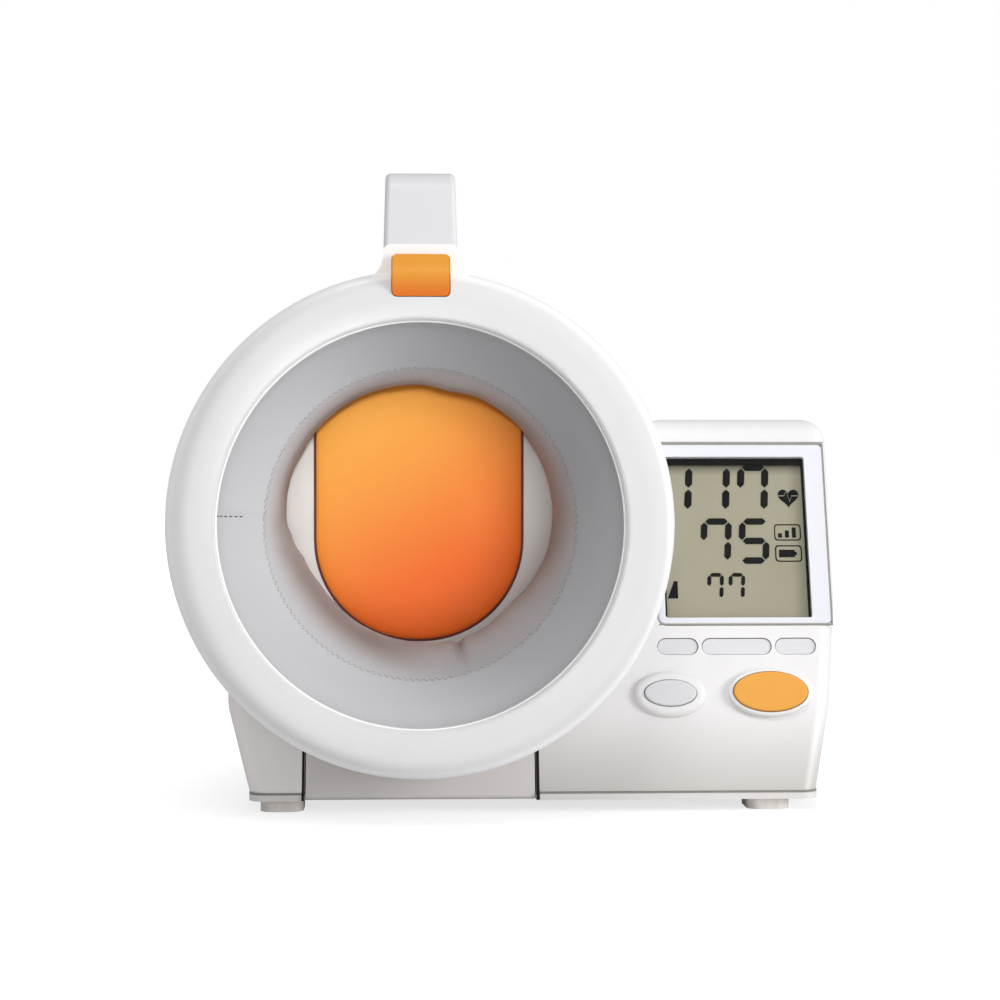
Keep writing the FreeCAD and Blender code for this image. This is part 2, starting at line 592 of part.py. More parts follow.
def right_side_outline(inset):
    """The right body from the side: reclined front, head top, and the low back with its concave shoulder."""
    run = f"({inset} / cos(recline))"
    top = f"(head_height - {inset})"
    behind = f"({HEAD_FRONT} + head_thickness - {inset})"
    return [
        (f"{front_at(SPLIT)} + {run}", SPLIT),
        (f"{front_at(top)} + {run}", top, f"10 - {inset}"),
        (behind, top, f"12 - {inset}"),
        (f"back_shoulder_depth - {inset}", f"back_height + 10 - {inset}", f"26 + {inset}"),
        (f"{BACK} - {inset}", f"back_height - {inset}", f"14 - {inset}"),
        (f"{BACK} - {inset}", SPLIT),
    ]


def right_front_outline(inset, left_low, left_high):
    return [
        (left_low, SPLIT), (f"body_foot_reach - {inset}", SPLIT),
        (f"waist_reach - {inset}", "waist_height", "60"),
        (f"body_reach - {inset}", "waist_height + shoulder_rise", "30"),
        (f"body_reach - {inset}", f"head_height - {inset}", f"9 - {inset}"),
        (left_high, f"head_height - {inset}", f"6 - {inset}"),
        (left_high, "ring_axis_height"), (left_low, "ring_axis_height"),
    ]


def pill(body, across, wide, margin, depth_from, depth, kind="Pad"):
    low, high = f"pill_row - pill_tall / 2 - {margin}", f"pill_row + pill_tall / 2 + {margin}"
    sketch = new_sketch(body, "XY", depth_from)
    rectangle(sketch, f"{across} - {wide} / 2 - {margin}", f"{across} + {wide} / 2 + {margin}", low, high,
              f"pill_tall / 2 + {margin} - 0.05")
    return extrude(body, sketch, depth, kind)


PILLS = {
    "memory_key": ("pill_across", "pill_short"), "user_key": ("(pill_across + pill_pitch)", "pill_long"),
    "clock_key": ("(pill_across + 2 * pill_pitch)", "pill_short"),
}
OVALS = {
    "power_button": ("power_across", "power_up", "power_wide", "power_tall", "power_collar"),
    "start_button": ("start_across", "start_up", "start_wide", "start_tall", "start_collar"),
}


def front_rim(height):
    """Picks the edges that lie wholly at a height above the panel."""
    return lambda edge: edge.BoundBox.ZMin > value(height) - NEAR


def collars():
    """The raised oval collars round the power and start keys, proud of the panel."""
    made = []
    for name, (across, up, wide, tall, margin) in OVALS.items():
        body = new_body(f"{name}_collar", "panel")
        rim = oval(new_sketch(body, "XY", "0 - 1"), across, up, f"{wide} + 2 * {margin}",
                   f"{tall} + 2 * {margin}")
        extrude(body, rim, "1 + collar_stand")
        rounded_edges(body, f"min(collar_stand - 0.2; {margin} - 2 * key_gap)", front_rim("collar_stand"))
        made.append(body)
    return made


def panel_cuts():
    """What the panel's face loses: bezel seat, display opening and key holes."""
    body = new_body("panel_cuts", "panel")
    seat = new_sketch(body, "XY", "0 - bezel_thickness - same_body_gap")
    rectangle(seat, "bezel_left - bezel_gap", "bezel_right + bezel_gap", "bezel_low - bezel_gap",
              "bezel_high + bezel_gap", "bezel_corner + bezel_gap")
    extrude(body, seat, "bezel_thickness + same_body_gap + 5")
    opening = new_sketch(body, "XY", "0 - case_wall - 5")
    rectangle(opening, "window_left", "window_right", "window_low", "window_high", "1")
    extrude(body, opening, "case_wall + 6")
    for across, wide in PILLS.values():
        pill(body, across, wide, "key_gap", "0 - case_wall - 5", "case_wall + 9")
    for across, up, wide, tall, _ in OVALS.values():
        gap = "2 * key_gap"
        extrude(body, oval(new_sketch(body, "XY", "0 - case_wall - 5"), across, up, f"{wide} + {gap}",
                           f"{tall} + {gap}"), "case_wall + 5 + collar_stand + 1")
    return body


def cradle(name, radius):
    """The hollow that the tube lies in, deepened below because the tube's rear end drops as it tilts."""
    length = "base_setback + base_depth + 20"
    level = cylinder(f"{name}_level", "base", "y", ("0", "0", "ring_axis_height"), radius, length)
    sunk = cylinder(f"{name}_sunk", "base", "y", ("0", "0", "ring_axis_height - cradle_drop"), radius, length)
    return join(name, level, sunk)


def shaft_bosses(name, side):
    """Round bosses inside one cheek for the tilt shaft and the rest's pin."""
    start = BLOCK_SIDE if side > 0 else f"0 - {BLOCK_SIDE} - shaft_grip"
    tilt = cylinder(f"{name}_tilt_boss", "base", "x", (start, "tilt_axis_depth", "tilt_axis_height"),
                    "tilt_shaft_radius + 3.5", "shaft_grip")
    rest = cylinder(f"{name}_rest_boss", "base", "x", (start, "rest_axis_depth", "rest_axis_height"),
                    "rest_pin_radius + 3", "shaft_grip")
    return tilt, rest


def shaft_holes(name):
    reach = f"{BLOCK_SIDE} + shaft_grip - 2"
    holes = []
    for shaft, depth, height, radius in (("tilt", "tilt_axis_depth", "tilt_axis_height", "tilt_shaft_radius"),
                                         ("rest", "rest_axis_depth", "rest_axis_height", "rest_pin_radius")):
        holes.append(cylinder(f"{name}_{shaft}_hole", "base", "x", (f"0 - ({reach})", depth, height),
                              f"{radius} + 0.03", f"2 * ({reach})"))
    return holes


INNER_SCREW = f"({BLOCK_SIDE} + case_wall + boss_radius - boss_bite)"
OUTER_SCREW = "(body_foot_reach - case_wall - boss_radius + boss_bite)"
LEFT_SCREW = "(0 - left_foot_reach + case_wall + boss_radius - boss_bite)"
FRONT_SCREW, REAR_SCREW = "(base_setback + 15)", f"({BACK} - 9)"
SCREWS = [
    (INNER_SCREW, FRONT_SCREW), (INNER_SCREW, REAR_SCREW), (OUTER_SCREW, "base_setback + 27"),
    (OUTER_SCREW, "back_shoulder_depth - 18"), (LEFT_SCREW, FRONT_SCREW), (LEFT_SCREW, REAR_SCREW),
]


def screw_columns(name, side, radius, start, length):
    made = []
    for index, (across, depth) in enumerate(SCREWS):
        if side * value(across) > 0:
            made.append(cylinder(f"{name}_{index}", "base", "z", (across, depth, start), radius, length))
    return made


def soft_corner(body, beyond):
    """Rounds the long edge between the reclined face and the outer side, where beyond(x) is true."""
    def picked(edge):
        middle = edge.valueAt((edge.FirstParameter + edge.LastParameter) / 2)
        on_face = abs(middle.y - value(front_at(middle.z))) < NEAR
        return on_face and beyond(middle.x) and edge.BoundBox.ZMax > value(f"{SPLIT} + front_corner_round")
    rounded_edges(body, "front_corner_round", picked)


def right_housing():
    outer = two_outline_form("right_form", right_side_outline("0"),
                             right_front_outline("0", BLOCK_SIDE, "head_left"), BLOCK_SIDE, "body_reach + 1")
    soft_corner(outer, lambda x: x > value("body_foot_reach - front_corner_round"))
    cheek = f"{BLOCK_SIDE} + case_wall"
    hollow = two_outline_form("right_hollow", right_side_outline("case_wall"),
                              right_front_outline("case_wall", cheek, "head_left + case_wall"), cheek,
                              "body_reach")
    inside = cut("right_inside", hollow, cradle("right_inner_cradle", f"{CRADLE} + case_wall"))
    skin = join("right_skin", outer, *collars())
    shell = cut("right_shell", skin, inside)
    columns = screw_columns("right_column", 1, "boss_radius", SPLIT, "screw_length + 2")
    bossed = join("right_bossed", shell, *shaft_bosses("right", 1), *columns)
    holes = screw_columns("right_screw_hole", 1, "screw_radius + 0.03", "foot_height", "screw_length + 2")
    behind, wall = f"{BACK} - case_wall - 1", "case_wall + 2"
    inlet = cylinder("right_inlet_hole", "base", "y", ("inlet_across", behind, "inlet_height"),
                     "inlet_radius + inlet_wall + 0.05", wall)
    door = box("right_door_hole", "base", ("door_left - moving_gap", behind, "door_low - moving_gap"),
               ("door_width + 2 * moving_gap", wall, "door_tall + 2 * moving_gap"))
    vents = []
    for k in range(-2, 3):
        across = f"inlet_across + {k} * vent_pitch - vent_width / 2"
        vents.append(box(f"right_vent_{k}", "base", (across, behind, "vent_low"),
                         ("vent_width", wall, "vent_tall")))
    keep("right_housing", cut("right_housing", bossed, cradle("right_cradle", CRADLE), panel_cuts(),
                              *shaft_holes("right"), *holes, inlet, door, *vents))


def left_side_outline(inset):
    run = f"({inset} / cos(recline))"
    top = f"(left_height - {inset})"
    return [
        (f"{front_at(SPLIT)} + {run}", SPLIT), (f"{front_at(top)} + {run}", top, f"9 - {inset}"),
        (f"{BACK} - {inset}", top, f"14 - {inset}"), (f"{BACK} - {inset}", SPLIT),
    ]


def left_front_outline(inset, inner):
    return [
        (f"0 - left_foot_reach + {inset}", SPLIT), (f"0 - ({inner})", SPLIT),
        (f"0 - ({inner})", "left_height + 5"), (f"0 - left_reach + {inset}", "left_height + 5"),
        (f"0 - left_reach + {inset}", "left_height - 13", "20"),
    ]


def left_housing():
    outer = two_outline_form("left_form", left_side_outline("0"), left_front_outline("0", BLOCK_SIDE),
                             "0 - left_reach - 1", f"0 - {BLOCK_SIDE}")
    soft_corner(outer, lambda x: x < value("front_corner_round - left_foot_reach"))
    hollow = two_outline_form("left_hollow", left_side_outline("case_wall"),
                              left_front_outline("case_wall", f"{BLOCK_SIDE} + case_wall"),
                              "0 - left_reach - 1", f"0 - {BLOCK_SIDE} - case_wall")
    inside = cut("left_inside", hollow, cradle("left_inner_cradle", f"{CRADLE} + case_wall"))
    shell = cut("left_shell", outer, inside)
    columns = screw_columns("left_column", -1, "boss_radius", SPLIT, "screw_length + 2")
    bossed = join("left_bossed", shell, *shaft_bosses("left", -1), *columns)
    holes = screw_columns("left_screw_hole", -1, "screw_radius + 0.03", "foot_height", "screw_length + 2")
    keep("left_housing", cut("left_housing", bossed, cradle("left_cradle", CRADLE), *shaft_holes("left"),
                             *holes))


def base_bottom_cover():
    """The floor plate under both cheeks, notched at the front for the neck's skirt."""
    body = new_body("base_bottom_cover", "base")
    left, right = "(0 - left_foot_reach)", "body_foot_reach"
    front, notch = "base_setback", "(base_setback + neck_wall + 1.5)"
    plan = [
        (left, front, "6"), (f"0 - {BLOCK_SIDE}", front), (f"0 - {BLOCK_SIDE}", notch), (BLOCK_SIDE, notch),
        (BLOCK_SIDE, front), (right, front, "6"), (right, BACK, "8"), (left, BACK, "8"),
    ]
    extrude(body, draw(new_sketch(body, "XY", "foot_height"), plan), "floor_thickness - 0.05")
    holes = []
    for name, side in (("right", 1), ("left", -1)):
        holes += screw_columns(f"floor_bore_{name}", side, "screw_radius + 0.1", "0", "foot_height + 10")
        holes += screw_columns(f"floor_head_{name}", side, "screw_head_radius + 0.2", "0",
                               "foot_height + screw_head + 0.1")
    keep("base_bottom_cover", cut("base_bottom_cover_cut", body, *holes))


def case_screws():
    made = []
    for side, name in ((1, "right"), (-1, "left")):
        made += screw_columns(f"{name}_shank", side, "screw_radius", "foot_height + screw_head", "screw_length")
        made += screw_columns(f"{name}_head", side, "screw_head_radius", "foot_height + 0.1",
                              "screw_head - 0.1")
    keep("case_screws", join("case_screws_joined", *made))


def rubber_feet():
    feet = []
    across = {"left": "(0 - left_foot_reach + foot_inset)", "right": "(body_foot_reach - 10 - foot_width)"}
    depth = {"front": "(base_setback + foot_inset)", "rear": f"({BACK} - foot_inset - foot_length)"}
    for side, x in across.items():
        for end, y in depth.items():
            body = new_body(f"foot_{side}_{end}", "base")
            sketch = new_sketch(body, "XY")
            rectangle(sketch, x, f"{x} + foot_width", y, f"{y} + foot_length", "5")
            extrude(body, sketch, "foot_height")
            feet.append(body)
    keep("rubber_feet", join("rubber_feet_joined", *feet))


def shafts():
    reach = f"{BLOCK_SIDE} + shaft_grip - 2.5"
    keep("cuff_hinge_shaft", cylinder("cuff_hinge_shaft", "base", "x",
                                      (f"0 - ({reach})", "tilt_axis_depth", "tilt_axis_height"),
                                      "tilt_shaft_radius", f"2 * ({reach})"))
    keep("elbow_hinge_pin", cylinder("elbow_hinge_pin", "base", "x",
                                     (f"0 - ({reach})", "rest_axis_depth", "rest_axis_height"),
                                     "rest_pin_radius", f"2 * ({reach})"))


# ---------------------------------------------------------------- display and keys

def panel_plate(name, left, right, low, high, under, thickness, rounding=None):
    body = new_body(name, "panel")
    extrude(body, rectangle(new_sketch(body, "XY", f"0 - ({under}) - ({thickness})"), left, right, low, high,
                            rounding), thickness)
    return body


def display():
    bezel = panel_plate("display_bezel", "bezel_left", "bezel_right", "bezel_low", "bezel_high", "0",
                        "bezel_thickness", "bezel_corner")
    hole = new_sketch(bezel, "XY", "1")
    rectangle(hole, "window_left", "window_right", "window_low", "window_high", "1")
    extrude(bezel, hole, "bezel_thickness + 2", "Pocket", back=True)
    rounded_edges(bezel, "bezel_edge_round", lambda e: front_rim("0")(e) and not (
        value("window_left") - NEAR < e.BoundBox.XMin and e.BoundBox.XMax < value("window_right") + NEAR
        and value("window_low") - NEAR < e.BoundBox.YMin and e.BoundBox.YMax < value("window_high") + NEAR))
    keep("display_bezel", bezel)
    pane = ("window_left + 0.1", "window_right - 0.1", "window_low + 0.1", "window_high - 0.1")
    keep("display_window", panel_plate("display_window", *pane, "window_sink", "window_thickness", "1"))
    lcd = "(case_wall + 0.2)"
    side = ("head_left + case_wall + 0.3", "window_right + lcd_margin + 1")
    rise = ("window_low - lcd_margin", "window_high + lcd_margin")
    keep("lcd_panel", panel_plate("lcd_panel", *side, *rise, lcd, "lcd_thickness"))
    holder = f"({lcd} + lcd_thickness + 0.1)"
    frame = panel_plate("lcd_holder", *side, *rise, holder, "holder_thickness")
    middle = new_sketch(frame, "XY", "0 - case_wall")
    rectangle(middle, "window_left + holder_rim", "window_right - holder_rim", "window_low + holder_rim",
              "window_high - holder_rim")
    extrude(frame, middle, "case_wall + lcd_thickness + 2 * holder_thickness", "Pocket", back=True)
    keep("lcd_holder", frame)
    board = f"({holder} + holder_thickness + 0.1)"
    inner_right = "body_foot_reach - case_wall - 1"
    keep("main_circuit_board", panel_plate("main_circuit_board", side[0], inner_right, "board_low", rise[1],
                                           board, "board_thickness"))
    under = f"({board} + board_thickness + 0.1)"
    keep("pressure_sensor", panel_plate("pressure_sensor", "sensor_across", "sensor_across + sensor_width",
                                        "sensor_up", "sensor_up + sensor_width", under, "sensor_thickness"))
    body = new_body("buzzer", "panel")
    disc = round_hole(new_sketch(body, "XY", f"0 - {under} - buzzer_thickness"), "buzzer_across", "buzzer_up",
                      "buzzer_radius")
    extrude(body, disc, "buzzer_thickness")
    keep("buzzer", body)
    keep("key_membrane", panel_plate("key_membrane", side[0], inner_right, "membrane_low", "bezel_low - 0.4",
                                     "key_depth + key_gap + press_travel", "membrane_thickness"))


def keys():
    for name, (across, wide) in PILLS.items():
        body = new_body(name, "panel")
        pill(body, across, wide, "0", "0 - key_depth", "key_depth - pill_sink")
        pill(body, across, wide, "key_flange", "0 - key_depth", "key_depth - case_wall - 0.4")
        keep(name, body)
    for name, (across, up, wide, tall, _) in OVALS.items():
        body = new_body(name, "panel")
        extrude(body, oval(new_sketch(body, "XY", "0 - key_depth"), across, up, wide, tall),
                "key_depth + button_stand")
        rounded_edges(body, "key_edge_round", front_rim("button_stand"))
        flange = oval(new_sketch(body, "XY", "0 - key_depth"), across, up, f"{wide} + 2 * key_flange",
                      f"{tall} + 2 * key_flange")
        extrude(body, flange, "key_depth - case_wall - 0.4")
        keep(name, body)


# ---------------------------------------------------------------- works inside

def works():
    """Pump and valve on the floor, the hose to the tilt hinge, and the cells in their holder."""
    left = "(head_left + case_wall + 0.3)"
    pump_depth = "(tilt_axis_depth - 20)"
    keep("air_pump", cylinder("air_pump", "base", "x", (left, pump_depth, f"{SPLIT} + pump_radius"),
                              "pump_radius", "pump_length"))
    keep("exhaust_valve", cylinder("exhaust_valve", "base", "x",
                                   (left, pump_depth, f"{SPLIT} + 2 * pump_radius + valve_radius + 0.1"),
                                   "valve_radius", "valve_length"))
    keep("air_hose", cylinder("air_hose", "base", "x",
                              (f"{BLOCK_SIDE} + case_wall + 0.3", pump_depth, f"{SPLIT} + hose_radius"),
                              "hose_radius", f"{left} - ({BLOCK_SIDE}) - case_wall - 0.5"))
    holder_back = f"({BACK} - case_wall - 1.5)"
    tray_depth = "(2 * cell_pitch + holder_wall)"
    tray_low = f"({SPLIT} + holder_lift)"
    outer = box("holder_outer", "base", ("tray_left", f"{holder_back} - {tray_depth}", tray_low),
                ("holder_length", tray_depth, "2 * cell_pitch + 2 * holder_wall"))
    inner = box("holder_inner", "base",
                ("tray_left + holder_wall", f"{holder_back} - {tray_depth} + holder_wall",
                 f"{tray_low} + holder_wall"),
                ("holder_length - 2 * holder_wall", tray_depth, "2 * cell_pitch"))
    keep("battery_holder", cut("battery_holder_cut", outer, inner))
    start = "(tray_left + holder_wall + contact_thickness + cell_gap)"
    far_end = f"{start} + cell_length + cell_gap - {FACE_GAP}"
    cells, plates = [], []
    for row in range(2):
        for column in range(2):
            depth = f"{holder_back} - (0.5 + {row}) * cell_pitch"
            up = f"{tray_low} + holder_wall + (0.5 + {column}) * cell_pitch"
            cells.append(cylinder(f"cell_{row}_{column}", "base", "x", (start, depth, up), "cell_radius",
                                  "cell_length"))
            for end, across in (("a", f"tray_left + holder_wall + {FACE_GAP}"), ("b", far_end)):
                plates.append(box(f"contact_{row}_{column}_{end}", "base",
                                  (across, f"{depth} - contact_side / 2", f"{up} - contact_side / 2"),
                                  ("contact_thickness", "contact_side", "contact_side")))
    keep("batteries", join("batteries_joined", *cells))
    keep("battery_contacts", join("battery_contacts_joined", *plates))
    cover = new_body("battery_cover", "base")
    rear, half = BACK, "(door_thickness / 2)"
    edge = [
        (f"{rear} - door_thickness", "door_low", f"{half} - 0.02"), (rear, "door_low", f"{half} - 0.02"),
        (rear, "door_low + door_tall"), (f"{rear} - door_thickness", "door_low + door_tall"),
    ]
    extrude(cover, draw(new_sketch(cover, "YZ", "door_left"), edge), "door_width")
    keep("battery_cover", cover)
    jack = cylinder("inlet_barrel", "base", "y", ("inlet_across", f"{BACK} - inlet_length", "inlet_height"),
                    "inlet_radius + inlet_wall", "inlet_length")
    bore = cylinder("inlet_bore", "base", "y",
                    ("inlet_across", f"{BACK} - inlet_bore_length", "inlet_height"),
                    "inlet_radius", "inlet_bore_length + 1")
    keep("power_inlet", cut("power_inlet_cut", jack, bore))


# ---------------------------------------------------------------- elbow rest

def rest_outline(inset):
    """The paddle seen from the front: a narrow stem at the hinge, wide above the cheeks."""
    half, stem = f"(rest_width / 2 - {inset})", f"(rest_stem_width / 2 - {inset})"
    shoulder, top = f"(rest_shoulder_height + {inset})", f"(rest_top_height - {inset})"
    return [
        (f"0 - {stem}", "rest_axis_height"), (stem, "rest_axis_height"), (stem, shoulder, "4"),
        (half, shoulder, "12"), (half, top, f"rest_corner - {inset}"),
        (f"0 - {half}", top, f"rest_corner - {inset}"),
        (f"0 - {half}", shoulder, "12"), (f"0 - {stem}", shoulder, "4"),
    ]


def elbow_rest():
    front = "(rest_axis_depth - rest_front)"
    body = new_body("elbow_rest_frame", "base")
    paddle = draw(new_sketch(body, "XZ", f"0 - {front}"), rest_outline("0"))
    extrude(body, paddle, "rest_frame_thickness", back=True)
    knuckle = round_hole(new_sketch(body, "YZ"), "rest_axis_depth", "rest_axis_height", "rest_pin_radius + 3")
    extrude(body, knuckle, "rest_stem_width", both=True)
    bore = round_hole(new_sketch(body, "YZ"), "rest_axis_depth", "rest_axis_height",
                      "rest_pin_radius + shaft_clearance")
    extrude(body, bore, "rest_stem_width + 2", "Pocket", both=True)
    keep("elbow_rest_frame", body)
    pad = new_body("elbow_pad", "base")
    half = "(pad_width / 2)"
    face = [
        (f"0 - {half}", "pad_low_height", "pad_corner"), (half, "pad_low_height", "pad_corner"),
        (half, "rest_top_height - 12", "12"), (f"0 - {half}", "rest_top_height - 12", "12"),
    ]
    extrude(pad, draw(new_sketch(pad, "XZ", f"0 - {front} + same_body_gap"), face), "pad_thickness")
    keep("elbow_pad", pad)
    cover = new_body("elbow_rest_cover", "base")
    rear = f"({front} + rest_frame_thickness + same_body_gap)"
    side = [
        (rear, "rest_axis_height + 10"), (rear, "rest_top_height"),
        ("rest_axis_depth + rest_rear_high", "rest_top_height", "6"),
        ("rest_axis_depth + rest_rear_high", "rest_top_height - 40", "30"),
        ("rest_axis_depth + rest_rear_low", "rest_axis_height + 10"),
    ]
    extrude(cover, draw(new_sketch(cover, "YZ"), side), "rest_width", both=True)
    trim = new_sketch(cover, "XZ", "10")
    rectangle(trim, "0 - rest_width", "rest_width", "0 - 20", "rest_top_height + 20")
    draw(trim, rest_outline("0.01"))
    extrude(cover, trim, "0", "Pocket", back=True, through=True)
    keep("elbow_rest_cover", cover)


front_ring()
tube_upper_housing()
tube_lower_housing()
cuff_rings()
handle()
handle_grip()
latch()
right_housing()
left_housing()
base_bottom_cover()
case_screws()
rubber_feet()
shafts()
display()
keys()
works()
elbow_rest()

doc.recompute()
for thing in doc.Objects:
    if "Invalid" in thing.State or "Error" in thing.State:
        raise RuntimeError(f"{thing.Label} failed: {thing.State}")
os.makedirs("parts", exist_ok=True)
for name, thing in nodes.items():
    shape = thing.Shape
    if shape.isNull() or not shape.isValid():
        raise RuntimeError(f"{name} has no valid shape")
    shape.exportStep(f"parts/{name}.step")
    print(name, len(shape.Solids), round(shape.Volume), [round(v, 1) for v in (
        shape.BoundBox.XMin, shape.BoundBox.XMax, shape.BoundBox.YMin, shape.BoundBox.YMax,
        shape.BoundBox.ZMin, shape.BoundBox.ZMax)])
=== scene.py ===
import math

import bmesh
import bpy
from mathutils import Matrix, Vector


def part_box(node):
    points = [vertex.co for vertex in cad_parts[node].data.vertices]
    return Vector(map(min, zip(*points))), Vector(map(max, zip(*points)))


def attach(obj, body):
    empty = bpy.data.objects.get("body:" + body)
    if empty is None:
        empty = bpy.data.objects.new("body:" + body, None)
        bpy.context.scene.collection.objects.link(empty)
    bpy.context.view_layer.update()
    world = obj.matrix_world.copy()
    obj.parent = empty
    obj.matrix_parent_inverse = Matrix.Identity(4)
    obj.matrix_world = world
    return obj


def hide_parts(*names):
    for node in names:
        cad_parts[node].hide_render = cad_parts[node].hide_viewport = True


# Arm-in blood pressure monitor. Metres, +Z up, the front faces -Y.

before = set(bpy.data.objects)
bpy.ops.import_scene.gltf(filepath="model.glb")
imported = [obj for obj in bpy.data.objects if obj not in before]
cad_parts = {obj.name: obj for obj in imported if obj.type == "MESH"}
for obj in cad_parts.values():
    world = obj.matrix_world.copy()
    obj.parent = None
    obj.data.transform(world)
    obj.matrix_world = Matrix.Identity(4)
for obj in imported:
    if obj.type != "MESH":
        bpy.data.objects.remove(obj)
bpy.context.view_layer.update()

MM = 0.001

# ---------------------------------------------------------------- places read from the frame

liner_low, liner_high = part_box("cuff_liner")
AXIS_X = (liner_low.x + liner_high.x) / 2
AXIS_Z = (liner_low.z + liner_high.z) / 2
RING_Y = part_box("front_ring")[0].y
MOUTH_RADIUS = (liner_high.x - liner_low.x) / 2
LINER_END_Y = liner_high.y

# The key panel's frame: across from the ring's centre, up the slope, and out of the face. LCD_TOP is up it.
RECLINE = math.radians(18.5)
PANEL_FOOT = Vector((AXIS_X, RING_Y + 45 * MM, 4.5 * MM))
PANEL = Matrix.Translation(PANEL_FOOT) @ Matrix.Rotation(math.pi / 2 - RECLINE, 4, "X")
LCD_TOP = 133.5 * MM

# The camera stands before the ring's face. Its focal length is in pixels of a square picture.
PICTURE_SIDE = 1000
CAMERA_FOCUS_PIXELS = 2242
SENSOR = 36.0
CAMERA_DISTANCE = 780 * MM
CAMERA_ACROSS = -4.7 * MM
CAMERA_HEIGHT = 128.5 * MM
CAMERA_YAW = math.radians(2.36)
CAMERA_PITCH = math.radians(0.91)


# ---------------------------------------------------------------- materials

UP = Vector((0, 0, 1))

# A crowned face shades as flat by up to FLAT_SHARE, as its cosine to the face's direction passes FLAT_TURN.
FLAT_TURN, FLAT_SHARE = (0.3, 0.8), 0.85

# Moulded plastic: the grain's scale, the drift in colour, and how worn edges pale (sharpness, share, shade).
GRAIN_SCALE = 2600
DRIFT = 0.03
WORN_SHARPNESS, WORN_SHARE, WORN_SHADE = (0.5, 0.58), 0.25, 1.08
SATIN_GRAIN = 0.000016

# The knit's pitch, and the painted light that makes it paler towards the low left, over PAINTED_LIGHT_REACH
# to each side of the axis.
KNIT_PITCH = 0.7 * MM
PAINTED_LIGHT_REACH = 65 * MM
PAINTED_LIGHT_MOST, PAINTED_LIGHT_GAIN = 0.6, 1.5

# Painted shade, browned by a painted orange reflection of the pad, deep in the sleeve's low left: depths
# behind the ring's face where it comes and goes, and how far from the axis to the low left it starts.
PAINTED_SHADE_COMES, PAINTED_SHADE_GOES = (28 * MM, 60 * MM), (68 * MM, 96 * MM)
PAINTED_SHADE_LOW = (30 * MM, 46 * MM)
PAINTED_SHADE_TINT = (0.66, 0.47, 0.38)

# Painted light on the pad: paler at the upper left, darker down along PAD_SLOPE, from and to these distances
# from its middle.
PAD_SLOPE = Vector((0.6, 0.0, -1.1))
PAD_PAINTED_REACH = (-50 * MM, 45 * MM)


